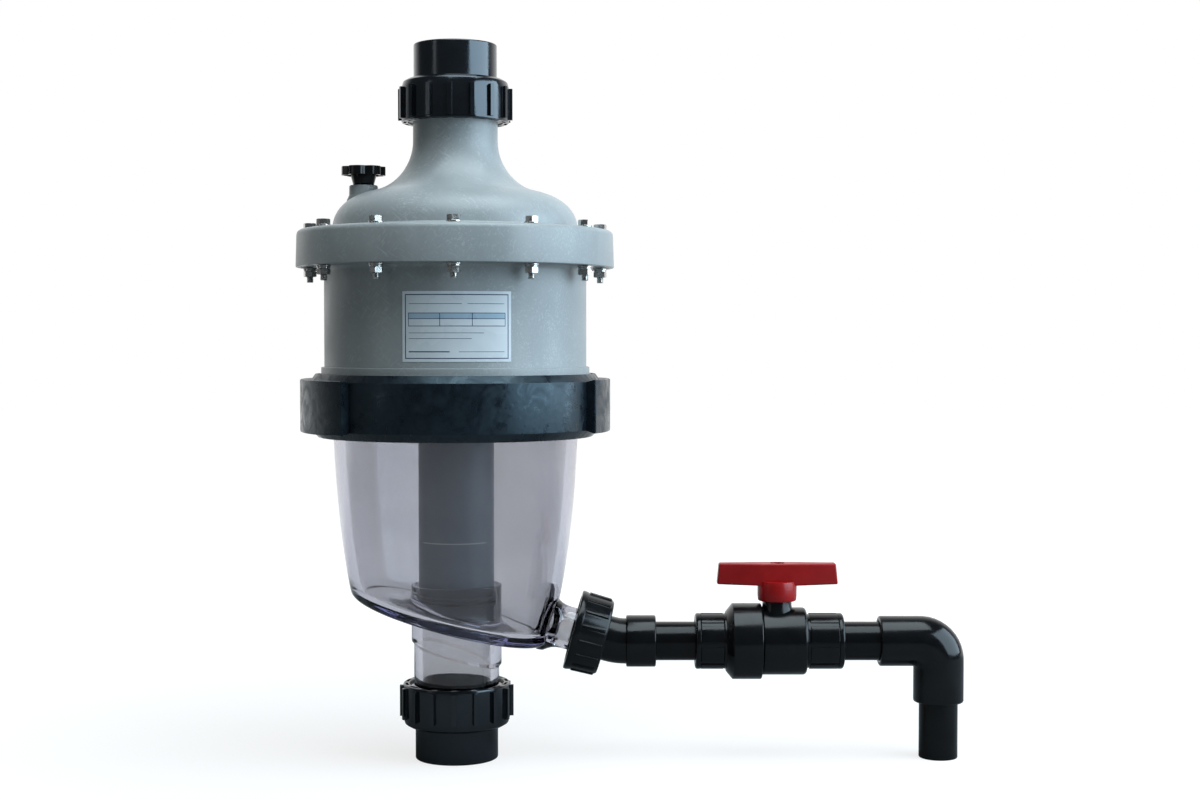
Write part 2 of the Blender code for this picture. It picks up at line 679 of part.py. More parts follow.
def build_lid(axis, holes):
    lid = made("lid", spun(lid_profile(), VESSEL_SIDES), grey_filled_plastic(), axis)
    combine(lid, holes, "DIFFERENCE")
    boss_base = BLEED_BOSS_TOP_Z - BLEED_BOSS_DEPTH
    boss = stacked([circle(BLEED_BOSS_RADIUS, z, SMALL_SIDES) for z in (boss_base, BLEED_BOSS_TOP_Z)])
    combine(lid, helper("bleed_boss", boss, axis, Matrix.Translation(BLEED_PLACE)), "UNION")
    bore = around(BLEED_SCREW_RADIUS, SMALL_SIDES)
    pocket = bore + 2 * (BLEED_SEAL_SECTION + GAP)
    pocket_z = BLEED_BOSS_TOP_Z - 2 * BLEED_SEAL_SECTION - GAP
    tool = [
        (0, BLEED_BOSS_TOP_Z + OVERRUN),
        (pocket, BLEED_BOSS_TOP_Z + OVERRUN),
        (pocket, pocket_z),
        (bore, pocket_z),
        (bore, boss_base - OVERRUN),
        (0, boss_base - OVERRUN),
    ]
    cutter = helper("bleed_bore_cutter", spun(tool, SMALL_SIDES), axis, Matrix.Translation(BLEED_PLACE))
    combine(lid, cutter, "DIFFERENCE")
    return lid


def build_bleed_screw(axis):
    """Star knob, conical neck and screw in one moulding, and the seal under the neck."""
    turn = seat_empty("bleed_screw_axis", axis, BLEED_PLACE)
    sides = 4 * BLEED_KNOB_LOBES
    base = BLEED_BOSS_TOP_Z + GAP
    knob_base = base + BLEED_NECK_HEIGHT
    knob_top = knob_base + BLEED_KNOB_HEIGHT
    star = []
    for i in range(sides):
        angle = tau * i / sides
        radius = BLEED_KNOB_RADIUS if i % 4 in (0, 1) else BLEED_KNOB_WAIST
        star.append((radius, angle))

    def star_loop(inset, z):
        return [Vector(((r - inset) * cos(a), (r - inset) * sin(a), z)) for r, a in star]

    loops = [
        circle(BLEED_SCREW_RADIUS, base - BLEED_SCREW_LENGTH, SMALL_SIDES),
        circle(BLEED_SCREW_RADIUS, base, SMALL_SIDES),
        circle(BLEED_NECK_FOOT_RADIUS, base, sides),
        circle(BLEED_NECK_TOP_RADIUS, knob_base, sides),
        star_loop(BLEED_KNOB_EDGE, knob_base),
        star_loop(0, knob_base + BLEED_KNOB_EDGE),
        star_loop(0, knob_top - BLEED_KNOB_EDGE),
        star_loop(BLEED_KNOB_EDGE, knob_top),
    ]
    made("bleed_screw", stacked(loops), black_plastic(), turn)
    ring = around(BLEED_SCREW_RADIUS, SMALL_SIDES) + BLEED_SEAL_SECTION
    seal("bleed_seal", turn, ring, BLEED_SEAL_SECTION, BLEED_BOSS_TOP_Z - BLEED_SEAL_SECTION, SMALL_SIDES)


# Housing
def build_housing(axis, holes):
    inner_lip_z = HOUSING_BOTTOM_Z + HOUSING_LIP_HEIGHT
    flange_radius = FLANGE_RADIUS - SKIRT_WALL - GAP
    profile = [
        Vector((HOUSING_BORE_RADIUS, HOUSING_TOP_Z)),
    ]
    profile += seal_groove(LID_SEAL_RADIUS, LID_SEAL_SECTION, HOUSING_TOP_Z, -1)
    profile += [
        Vector((flange_radius, HOUSING_TOP_Z)),
        Vector((flange_radius, HOUSING_FLANGE_BASE_Z)),
        Vector((HOUSING_RADIUS + HOUSING_FILLET, HOUSING_FLANGE_BASE_Z)),
        Vector((HOUSING_RADIUS, HOUSING_FLANGE_BASE_Z - HOUSING_FILLET)),
        Vector((HOUSING_RADIUS, HOUSING_THREAD_TOP_Z + HOUSING_LEDGE_HEIGHT)),
        Vector((HOUSING_LEDGE_RADIUS, HOUSING_THREAD_TOP_Z + HOUSING_LEDGE_HEIGHT)),
        Vector((HOUSING_LEDGE_RADIUS, HOUSING_THREAD_TOP_Z)),
        Vector((HOUSING_THREAD_RADIUS, HOUSING_THREAD_TOP_Z)),
        Vector((HOUSING_THREAD_RADIUS, HOUSING_BOTTOM_Z)),
        Vector((HOUSING_LIP_RADIUS, HOUSING_BOTTOM_Z)),
        Vector((HOUSING_LIP_RADIUS, inner_lip_z)),
        Vector((HOUSING_BORE_RADIUS, inner_lip_z)),
    ]
    housing = made("housing", spun(profile, VESSEL_SIDES), grey_filled_plastic(), axis)
    combine(housing, holes, "DIFFERENCE")
    seal_z = HOUSING_TOP_Z - LID_SEAL_SECTION
    seal("lid_seal", axis, LID_SEAL_RADIUS, LID_SEAL_SECTION, seal_z, VESSEL_SIDES)


# Flange bolts and nuts, each with its washer
def bolt_mesh():
    head_base = LID_FLANGE_TOP_Z + GAP + HEAD_WASHER_THICKNESS
    tip_z = HOUSING_FLANGE_BASE_Z - NUT_WASHER_THICKNESS - NUT_HEIGHT - GAP - BOLT_PROTRUSION
    washer_z = LID_FLANGE_TOP_Z + GAP
    loops = [
        circle(BOLT_SHANK_RADIUS, tip_z, 6),
        circle(BOLT_SHANK_RADIUS, washer_z, 6),
        circle(WASHER_RADIUS, washer_z, WASHER_SIDES),
        circle(WASHER_RADIUS, head_base, WASHER_SIDES),
        circle(HEX_RADIUS, head_base, 6),
        circle(HEX_RADIUS, head_base + BOLT_HEAD_HEIGHT, 6),
    ]
    return stacked(loops)


def nut_mesh():
    top_z = HOUSING_FLANGE_BASE_Z - GAP
    washer_base = top_z - NUT_WASHER_THICKNESS
    bore = BOLT_SHANK_RADIUS + GAP
    loops = [
        circle(bore, top_z, 6),
        circle(WASHER_RADIUS, top_z, WASHER_SIDES),
        circle(WASHER_RADIUS, washer_base, WASHER_SIDES),
        circle(HEX_RADIUS, washer_base, 6),
        circle(HEX_RADIUS, washer_base - NUT_HEIGHT, 6),
        circle(bore, washer_base - NUT_HEIGHT, 6),
    ]
    return stacked(loops, closed=True)


def build_fasteners(axis):
    for label, bm in (("flange_bolt", bolt_mesh()), ("flange_nut", nut_mesh())):
        first = made(f"{label}_01", bm, stainless_steel(), axis)
        for i in range(BOLT_COUNT):
            angle = BOLT_START_ANGLE + tau * i / BOLT_COUNT
            place = (BOLT_CIRCLE_RADIUS * cos(angle), BOLT_CIRCLE_RADIUS * sin(angle), 0)
            obj = placed(f"{label}_{i + 1:02d}", first.data, axis) if i else first
            obj.location = place
            obj.rotation_euler.z = angle


# Cyclone cluster
def cyclone_outline(wall, overrun):
    """The outside of one cyclone for wall 0, or its bore for the cyclone's wall."""
    neck_z = CYCLONE_TOP_Z - CYCLONE_HEAD_HEIGHT
    return stacked(
        [
            circle(CYCLONE_TIP_RADIUS - wall, CYCLONE_TIP_Z - overrun, CYCLONE_SIDES),
            circle(CYCLONE_HEAD_RADIUS - wall, neck_z, CYCLONE_SIDES),
            circle(CYCLONE_HEAD_RADIUS - wall, CYCLONE_TOP_Z + overrun, CYCLONE_SIDES),
        ]
    )


def build_cyclones(axis):
    radius = HOUSING_BORE_RADIUS - GAP
    top_z = PARTITION_Z + PARTITION_THICKNESS
    hub_top = top_z + HUB_HEIGHT
    bore = TUBE_RADIUS + GAP
    profile = [
        Vector((bore, PARTITION_Z)),
        Vector((radius, PARTITION_Z)),
        Vector((radius, top_z)),
        Vector((HUB_RADIUS, top_z)),
        Vector((HUB_RADIUS, hub_top)),
        Vector((bore - HUB_STOP_WIDTH, hub_top)),
        Vector((bore - HUB_STOP_WIDTH, hub_top - HUB_STOP)),
        Vector((bore, hub_top - HUB_STOP)),
    ]
    cluster = made("cyclone_cluster", spun(profile, VESSEL_SIDES), grey_tube_plastic(), axis)
    places = ring_places(CYCLONE_COUNT, CYCLONE_CIRCLE_RADIUS, CYCLONE_START_ANGLE)
    cones = [cyclone_outline(0, 0) for _ in places]
    bores = [cyclone_outline(CYCLONE_WALL, OVERRUN) for _ in places]
    combine(cluster, helper("cyclone_cones", merged(zip(cones, places)), axis), "UNION")
    combine(cluster, helper("cyclone_bores", merged(zip(bores, places)), axis), "DIFFERENCE")
    low = (-CYCLONE_HEAD_RADIUS - OVERRUN, INLET_SLOT_OFFSET, CYCLONE_TOP_Z - INLET_SLOT_DEPTH)
    high = (0, INLET_SLOT_OFFSET + INLET_SLOT_WIDTH, low[2] + INLET_SLOT_HEIGHT)
    slots = [block(low, high) for _ in places]
    combine(cluster, helper("inlet_slot_cutter", merged(zip(slots, places)), axis), "DIFFERENCE")


def build_vortex_plate(axis):
    """The plate over the cyclones: one tube reaches down into each head and takes the clean water up."""
    base_z = HOUSING_TOP_Z - VORTEX_PLATE_THICKNESS
    radius = HOUSING_BORE_RADIUS - GAP
    profile = [(0, base_z), (radius, base_z), (radius, HOUSING_TOP_Z), (0, HOUSING_TOP_Z)]
    plate = made("vortex_plate", spun(profile, VESSEL_SIDES), grey_tube_plastic(), axis)
    places = ring_places(CYCLONE_COUNT, CYCLONE_CIRCLE_RADIUS, CYCLONE_START_ANGLE)
    tube_ends = (base_z - FINDER_LENGTH, base_z + EMBED)
    bore_ends = (base_z - FINDER_LENGTH - OVERRUN, HOUSING_TOP_Z + OVERRUN)
    tubes = [stacked([circle(FINDER_RADIUS, z, CYCLONE_SIDES) for z in tube_ends]) for _ in places]
    bores = [stacked([circle(FINDER_BORE_RADIUS, z, CYCLONE_SIDES) for z in bore_ends]) for _ in places]
    combine(plate, helper("finder_tubes", merged(zip(tubes, places)), axis), "UNION")
    combine(plate, helper("finder_bores", merged(zip(bores, places)), axis), "DIFFERENCE")


def build_inlet_tube(axis):
    """Centre tube: its foot stands in the sump's socket, with two ribs that keep the seal ring between them."""
    foot_z = SOCKET_LEDGE_Z + GAP
    top_z = PARTITION_Z + PARTITION_THICKNESS + HUB_HEIGHT - HUB_STOP - GAP
    rib = TUBE_RADIUS + TUBE_RIB_PROUD
    half = TUBE_SEAL_SECTION + GAP
    profile = [
        Vector((TUBE_RADIUS - TUBE_WALL, top_z)),
        Vector((TUBE_RADIUS, top_z)),
        Vector((TUBE_RADIUS, TUBE_SEAL_Z + half + TUBE_RIB_HEIGHT)),
        Vector((rib, TUBE_SEAL_Z + half + TUBE_RIB_HEIGHT)),
        Vector((rib, TUBE_SEAL_Z + half)),
        Vector((TUBE_RADIUS, TUBE_SEAL_Z + half)),
        Vector((TUBE_RADIUS, TUBE_SEAL_Z - half)),
        Vector((rib, TUBE_SEAL_Z - half)),
        Vector((rib, TUBE_SEAL_Z - half - TUBE_RIB_HEIGHT)),
        Vector((TUBE_RADIUS, TUBE_SEAL_Z - half - TUBE_RIB_HEIGHT)),
        Vector((TUBE_RADIUS, foot_z)),
        Vector((TUBE_RADIUS - TUBE_WALL, foot_z)),
    ]
    made("inlet_tube", spun(profile, PIPE_SIDES + 4), grey_tube_plastic(), axis)
    ring = TUBE_RADIUS + GAP + TUBE_SEAL_SECTION
    seal("tube_seal", axis, ring, TUBE_SEAL_SECTION, TUBE_SEAL_Z, VESSEL_SIDES)


# Lock ring
def build_lock_ring(axis):
    turn = seat_empty("lock_ring_axis", axis, (0, 0, 0))
    bore = around(HOUSING_THREAD_RADIUS, VESSEL_SIDES)
    lip_radius = around(SUMP_TOP_RADIUS + RING_LIP_GAP, VESSEL_SIDES)
    lip_top = RING_BOTTOM_Z + RING_LIP_THICKNESS
    profile = [
        (bore, RING_TOP_Z),
        (RING_RADIUS - RING_TOP_CHAMFER / 2, RING_TOP_Z),
        (RING_RADIUS, RING_TOP_Z - RING_TOP_CHAMFER),
        (RING_RADIUS, RING_BOTTOM_Z + RING_BOTTOM_CHAMFER),
        (RING_RADIUS - RING_BOTTOM_CHAMFER, RING_BOTTOM_Z),
        (lip_radius, RING_BOTTOM_Z),
        (lip_radius, lip_top),
        (bore, lip_top),
    ]
    ring = made("lock_ring", spun(profile, VESSEL_SIDES), black_plastic(), turn)
    lugs = [lug_shape(bore + EMBED) for _ in range(LUG_COUNT)]
    places = ring_places(LUG_COUNT, 0, LUG_CENTRE_ANGLE)
    combine(ring, helper("ring_lugs", merged(zip(lugs, places)), turn), "UNION")


def lug_shape(inner_radius):
    """One wide grip lug: a chamfered section carried along the ring, ramped down at both ends."""
    top = RING_TOP_Z - GAP
    bottom = RING_BOTTOM_Z + GAP
    shoulder = LUG_RADIUS - LUG_TOP_WIDTH
    section = (
        (inner_radius, bottom),
        (shoulder, bottom),
        (LUG_RADIUS, bottom + LUG_CHAMFER),
        (LUG_RADIUS, top - LUG_CHAMFER),
        (shoulder, top),
        (inner_radius, top),
    )
    half = LUG_SPAN_ANGLE / 2
    stations = [-half - LUG_RAMP_ANGLE]
    stations += [-half + LUG_SPAN_ANGLE * i / LUG_STEPS for i in range(LUG_STEPS + 1)]
    stations += [half + LUG_RAMP_ANGLE]
    loops = []
    for place, angle in enumerate(stations):
        ramp = place in (0, len(stations) - 1)
        limit = RING_RADIUS - EMBED if ramp else LUG_RADIUS
        loops.append([Vector((min(r, limit) * cos(angle), min(r, limit) * sin(angle), z)) for r, z in section])
    return stacked(loops)


# Sump
def sump_radius(z):
    """The bowl's outside: a slight taper that bellies in towards the floor."""
    depth = SUMP_TOP_Z - z
    return SUMP_TOP_RADIUS - SUMP_TAPER_SHARE * depth - SUMP_BELLY * (depth / SUMP_BELLY_DEPTH) ** 3


def floor_corner(azimuth, rise, wall):
    """Where the wall meets the slanted floor on this side of the bowl, found by going round the two in turn."""
    radius = SUMP_TOP_RADIUS
    for _ in range(8):
        z = floor_height(radius, azimuth, rise)
        radius = sump_radius(z) - wall
    return Vector((radius, z))


def floor_height(radius, azimuth, rise=0.0):
    return SUMP_FLOOR_Z + rise - radius * cos(azimuth) * FLOOR_SLOPE


def floor_point(radius, azimuth, rise=0.0):
    return Vector((radius, floor_height(radius, azimuth, rise)))


def wall_points(low_z, wall, high_z):
    """Points up the wall between two heights."""
    heights = [low_z + share * (high_z - low_z) for share in WALL_SHARES]
    return [Vector((sump_radius(z) - wall, z)) for z in heights]


def sump_section(azimuth):
    """The bowl's closed section on one side: down the outside, in along the floor and back up the inside."""
    flange_base = SUMP_TOP_Z - SUMP_FLANGE_THICKNESS
    corner = floor_corner(azimuth, 0, 0)
    corner_top = corner.y + SUMP_CORNER_ROUND
    outer_wall = wall_points(corner_top, 0, flange_base - SUMP_SHOULDER_ROUND)[::-1]
    inner_corner = floor_corner(azimuth, FLOOR_RISE, SUMP_WALL)
    pocket_top = inner_corner.y + SUMP_POCKET_ROUND
    inner_wall = wall_points(pocket_top, SUMP_WALL, SUMP_TOP_Z)
    collar_top = floor_height(SOCKET_SEAT_RADIUS, azimuth, FLOOR_RISE) + SOCKET_ROUND
    points = [
        Vector((SUMP_FLANGE_RADIUS, SUMP_TOP_Z)),
        Vector((SUMP_FLANGE_RADIUS, flange_base)),
        Vector((sump_radius(flange_base) + SUMP_SHOULDER_ROUND, flange_base)),
        Vector((sump_radius(flange_base - SUMP_SHOULDER_ROUND), flange_base - SUMP_SHOULDER_ROUND)),
    ]
    points += outer_wall
    points += eased(
        Vector((sump_radius(corner_top), corner_top)),
        corner,
        floor_point(corner.x - SUMP_CORNER_ROUND, azimuth),
    )
    points += [
        floor_point(SOCKET_SEAT_RADIUS, azimuth),
        Vector((SOCKET_SEAT_RADIUS, collar_top)),
    ]
    points += eased(
        Vector((SOCKET_SEAT_RADIUS + SOCKET_SEAM_WIDTH, collar_top)),
        floor_point(SOCKET_SEAT_RADIUS + SOCKET_SEAM_WIDTH, azimuth, FLOOR_RISE),
        floor_point(SOCKET_SEAT_RADIUS + SOCKET_ROUND, azimuth, FLOOR_RISE),
    )
    points += eased(
        floor_point(inner_corner.x - SUMP_POCKET_ROUND, azimuth, FLOOR_RISE),
        inner_corner,
        Vector((sump_radius(pocket_top) - SUMP_WALL, pocket_top)),
    )
    points += inner_wall
    points.append(Vector((sump_radius(SUMP_TOP_Z) - SUMP_WALL, SUMP_TOP_Z)))
    points += seal_groove(SUMP_SEAL_RADIUS, SUMP_SEAL_SECTION, SUMP_TOP_Z, -1)
    return points


def socket_section(azimuth):
    """The socket's closed section on one side. Its thick sleeve ends parallel to the slanted floor."""
    sleeve_base = floor_height(SOCKET_RADIUS, azimuth) - SLEEVE_DROP
    points = [
        Vector((SOCKET_RADIUS, SOCKET_TOP_Z)),
        Vector((SOCKET_RADIUS, sleeve_base)),
        Vector((SPIGOT_RADIUS, sleeve_base - SLEEVE_STEP)),
    ]
    points += threaded_spigot(
        INLET_FACE_Z, -1, SPIGOT_BORE_RADIUS, SPIGOT_RADIUS, UNION_THREAD_RADIUS, UNION_THREAD_LENGTH
    )
    points += [
        Vector((SPIGOT_BORE_RADIUS, SOCKET_LEDGE_Z)),
        Vector((SOCKET_BORE_RADIUS, SOCKET_LEDGE_Z)),
        Vector((SOCKET_BORE_RADIUS, SOCKET_TOP_Z)),
    ]
    return points


def swept_round(section_at):
    """A closed ring whose section changes round the vessel's axis."""
    loops = []
    for i in range(VESSEL_SIDES):
        azimuth = tau * i / VESSEL_SIDES
        loops.append([Vector((r * cos(azimuth), r * sin(azimuth), z)) for r, z in section_at(azimuth)])
    return stacked(loops, closed=True)


def build_sump(axis):
    made("sump_socket", swept_round(socket_section), clear_plastic(), axis)
    sump = made("sump", swept_round(sump_section), clear_plastic(), axis)
    root = DRAIN_FACE_RUN - DRAIN_THREAD_LENGTH
    spigot = [
        (0, DRAIN_SPIGOT_START),
        (DRAIN_SPIGOT_RADIUS, DRAIN_SPIGOT_START),
        (DRAIN_SPIGOT_RADIUS, root),
        (DRAIN_THREAD_RADIUS, root),
        (DRAIN_THREAD_RADIUS, DRAIN_FACE_RUN - UNION_THREAD_CHAMFER),
        (DRAIN_THREAD_RADIUS - UNION_THREAD_CHAMFER, DRAIN_FACE_RUN),
        (0, DRAIN_FACE_RUN),
    ]
    drain = seat_empty("drain_spigot_axis", axis, (0, 0, DRAIN_START_Z), (0, pi / 2 + SUMP_FLOOR_ANGLE, 0))
    combine(sump, helper("drain_spigot", spun(spigot, PIPE_SIDES), drain), "UNION")
    ends = (SOCKET_SEAT_RADIUS + SOCKET_ROUND, DRAIN_FACE_RUN + OVERRUN)
    bore = stacked([circle(DRAIN_BORE_RADIUS, z, PIPE_SIDES) for z in ends])
    combine(sump, helper("drain_bore_cutter", bore, drain), "DIFFERENCE")
    seal_z = SUMP_TOP_Z - SUMP_SEAL_SECTION
    seal("sump_seal", axis, SUMP_SEAL_RADIUS, SUMP_SEAL_SECTION, seal_z, VESSEL_SIDES)


# Unions. Their own Z starts at the spigot's face and points to the pipe
LARGE_UNION = SimpleNamespace(
    thread=UNION_THREAD_RADIUS,
    length=UNION_NUT_LENGTH,
    radius=UNION_NUT_RADIUS,
    round=UNION_NUT_ROUND,
    rib=UNION_RIB_RADIUS,
    rib_width=UNION_RIB_WIDTH,
    rib_run_out=UNION_RIB_RUN_OUT,
    lip=UNION_LIP,
    collar=UNION_COLLAR,
    tail=UNION_TAIL_RADIUS,
    seal=UNION_SEAL_RADIUS,
    section=UNION_SEAL_SECTION,
    mouth_depth=UNION_MOUTH_DEPTH,
    mouth_width=UNION_MOUTH_WIDTH,
)
DRAIN_UNION = SimpleNamespace(
    thread=DRAIN_THREAD_RADIUS,
    length=DRAIN_NUT_LENGTH,
    radius=DRAIN_NUT_RADIUS,
    round=DRAIN_NUT_ROUND,
    rib=DRAIN_RIB_RADIUS,
    rib_width=DRAIN_RIB_WIDTH,
    rib_run_out=DRAIN_RIB_RUN_OUT,
    lip=DRAIN_LIP,
    collar=DRAIN_COLLAR,
    tail=DRAIN_TAIL_RADIUS,
    seal=DRAIN_SEAL_RADIUS,
    section=DRAIN_SEAL_SECTION,
    mouth_depth=DRAIN_MOUTH_DEPTH,
    mouth_width=DRAIN_MOUTH_WIDTH,
)


def rib_shape(size, bottom, top):
    """One grip rib, run out into the nut at its top end, standing on the X axis."""
    inner = size.radius - EMBED
    bm = bmesh.new()
    side = [
        (inner, bottom),
        (size.rib, bottom),
        (size.rib, top - size.rib_run_out),
        (inner, top),
    ]
    verts = [bm.verts.new((x, -size.rib_width / 2, z)) for x, z in side]
    face = bm.faces.new(verts)
    grown = bmesh.ops.extrude_face_region(bm, geom=[face])["geom"]
    moved = [item for item in grown if isinstance(item, bmesh.types.BMVert)]
    bmesh.ops.translate(bm, vec=(0, size.rib_width, 0), verts=moved)
    return bm


def union_nut(name, parent, size):
    top = size.lip + size.collar + 2 * GAP
    bottom = top - size.length
    hole = around(size.tail, UNION_SIDES)
    bore = around(size.thread, UNION_SIDES)
    mouth = bore + size.mouth_width
    profile = [Vector((hole, top))]
    profile += eased(
        Vector((size.radius - size.round, top)),
        Vector((size.radius, top)),
        Vector((size.radius, top - size.round)),
    )
    profile += [
        Vector((size.radius, bottom)),
        Vector((mouth, bottom)),
        Vector((mouth, bottom + size.mouth_depth)),
        Vector((bore, bottom + size.mouth_depth)),
        Vector((bore, top - size.lip)),
        Vector((hole, top - size.lip)),
    ]
    nut = made(name, spun(profile, UNION_SIDES), black_plastic(), parent)
    places = ring_places(UNION_RIB_COUNT, 0, pi / UNION_SIDES)
    ribs = [rib_shape(size, bottom + GAP, top - size.round) for _ in places]
    combine(nut, helper(f"{name}_ribs", merged(zip(ribs, places)), parent), "UNION")


def tail_foot(size, bore_radius):
    """The collar of a union tail, from its bore round the sealing face and up to the tube."""
    collar_radius = size.thread
    points = [Vector((bore_radius, GAP))]
    points += seal_groove(size.seal, size.section, GAP, 1)
    points += [
        Vector((collar_radius, GAP)),
        Vector((collar_radius, GAP + size.collar)),
        Vector((size.tail, GAP + size.collar)),
    ]
    return points


def build_large_union(prefix, parent, tail_length):
    union_nut(f"{prefix}_union_nut", parent, LARGE_UNION)
    stop = tail_length - UNION_STOP_DEPTH
    profile = tail_foot(LARGE_UNION, UNION_STOP_RADIUS)
    profile += [
        Vector((UNION_TAIL_RADIUS, tail_length)),
        Vector((UNION_TAIL_BORE_RADIUS, tail_length)),
        Vector((UNION_TAIL_BORE_RADIUS, stop)),
        Vector((UNION_STOP_RADIUS, stop)),
    ]
    made(f"{prefix}_union_tail", spun(profile, UNION_SIDES), black_plastic(), parent)
    seal_z = GAP + UNION_SEAL_SECTION
    seal(f"{prefix}_union_seal", parent, UNION_SEAL_RADIUS, UNION_SEAL_SECTION, seal_z, UNION_SIDES)


def build_drain_union(axis):
    slant = seat_empty("drain_union_axis", axis, (0, 0, DRAIN_START_Z), (0, pi / 2 + SUMP_FLOOR_ANGLE, 0))
    face = seat_empty("drain_union_face", slant, (0, 0, DRAIN_FACE_RUN))
    union_nut("drain_union_nut", face, DRAIN_UNION)
    seal_z = GAP + DRAIN_SEAL_SECTION
    seal("drain_union_seal", face, DRAIN_SEAL_RADIUS, DRAIN_SEAL_SECTION, seal_z, UNION_SIDES)
    build_drain_tail(axis)


def bend_frames():
    """The tail's centreline as matrices: along the slant, round the bend and level into the socket."""
    slant = Matrix.Rotation(pi / 2 + SUMP_FLOOR_ANGLE, 4, "Y")
    start = Vector((0, 0, DRAIN_START_Z))
    along = slant @ Vector((0, 0, 1))
    bend = Vector((BEND_X, 0, PIPE_Z))
    face = Matrix.Translation(start + along * DRAIN_FACE_RUN) @ slant
    before = Matrix.Translation(bend - along * DRAIN_BEND_SPREAD) @ slant
    middle = Matrix.Translation(bend) @ Matrix.Rotation(pi / 2 + SUMP_FLOOR_ANGLE / 2, 4, "Y")
    after = Matrix.Translation(bend + Vector((DRAIN_BEND_SPREAD, 0, 0))) @ FACING_X
    return face, before, middle, after


def build_drain_tail(axis):
    """Union collar, 15 degree bend and pipe socket in one moulding."""
    face, before, middle, after = bend_frames()
    groove = seal_groove(DRAIN_SEAL_RADIUS, DRAIN_SEAL_SECTION, GAP, 1)
    collar = DRAIN_THREAD_RADIUS
    step = GAP + DRAIN_COLLAR
    socket_x = DRAIN_SOCKET_OFFSET - DRAIN_BEND_SPREAD
    socket_end = socket_x + DRAIN_SOCKET_LENGTH
    stop = socket_end - PIPE_INSERT - GAP
    stations = [(face, p.x, p.y) for p in groove]
    stations += [
        (face, collar, GAP),
        (face, collar, step),
        (face, DRAIN_TAIL_RADIUS, step),
        (before, DRAIN_TAIL_RADIUS, 0),
        (middle, DRAIN_TAIL_RADIUS, 0),
        (after, DRAIN_TAIL_RADIUS, 0),
        (after, DRAIN_TAIL_RADIUS, socket_x),
        (after, DRAIN_SOCKET_RADIUS, socket_x),
        (after, DRAIN_SOCKET_RADIUS, socket_end),
        (after, PIPE_SOCKET_RADIUS, socket_end),
        (after, PIPE_SOCKET_RADIUS, stop),
        (after, PIPE_BORE_RADIUS, stop),
        (middle, PIPE_BORE_RADIUS, 0),
        (face, PIPE_BORE_RADIUS, GAP),
    ]
    loops = [[frame @ point for point in circle(r, z, UNION_SIDES)] for frame, r, z in stations]
    made("drain_union_tail", stacked(loops, closed=True), black_plastic(), axis)


# Drain line. Its own Z runs along the pipe, away from the vessel
def pipe(name, parent, start, end):
    profile = [
        (PIPE_BORE_RADIUS, start),
        (PIPE_RADIUS, start),
        (PIPE_RADIUS, end),
        (PIPE_BORE_RADIUS, end),
    ]
    return made(name, spun(profile, PIPE_SIDES), black_plastic(), parent)


def build_valve_body(line, ball):
    """Body, rounded into the right-hand socket, with the threaded barrel that the union nut holds on to."""
    barrel_start = -VALVE_BALL_OFFSET - VALVE_NUT_LENGTH + VALVE_LIP + VALVE_FLANGE + 2 * GAP
    body_start = -VALVE_BALL_OFFSET
    body_end = body_start + VALVE_BODY_LENGTH
    end = body_end + VALVE_SOCKET_EXPOSED
    stop = end - VALVE_SOCKET_DEPTH
    profile = [
        Vector((VALVE_CHAMBER_RADIUS, barrel_start)),
        Vector((VALVE_THREAD_RADIUS, barrel_start)),
        Vector((VALVE_THREAD_RADIUS, body_start)),
        Vector((VALVE_BODY_RADIUS, body_start)),
    ]
    profile += eased(
        Vector((VALVE_BODY_RADIUS, body_end - VALVE_BODY_ROUND)),
        Vector((VALVE_BODY_RADIUS, body_end)),
        Vector((VALVE_SOCKET_RADIUS, body_end)),
    )
    profile += [
        Vector((VALVE_SOCKET_RADIUS, end)),
        Vector((PIPE_SOCKET_RADIUS, end)),
        Vector((PIPE_SOCKET_RADIUS, stop)),
        Vector((VALVE_BORE_RADIUS, stop)),
        Vector((VALVE_BORE_RADIUS, SEAT_BACK + GAP)),
        Vector((VALVE_CHAMBER_RADIUS, SEAT_BACK + GAP)),
    ]
    body = made("valve_body", spun(profile, UNION_SIDES), black_plastic(), line)
    neck_foot = VALVE_CHAMBER_RADIUS + EMBED
    neck = stacked([circle(VALVE_NECK_RADIUS, z, SMALL_SIDES) for z in (neck_foot, VALVE_NECK_TOP)])
    combine(body, helper("valve_neck", neck, ball), "UNION")
    bore = around(STEM_RADIUS, SMALL_SIDES)
    ends = (0, VALVE_NECK_TOP + OVERRUN)
    stem_bore = stacked([circle(bore, z, SMALL_SIDES) for z in ends])
    combine(body, helper("stem_bore_cutter", stem_bore, ball), "DIFFERENCE")


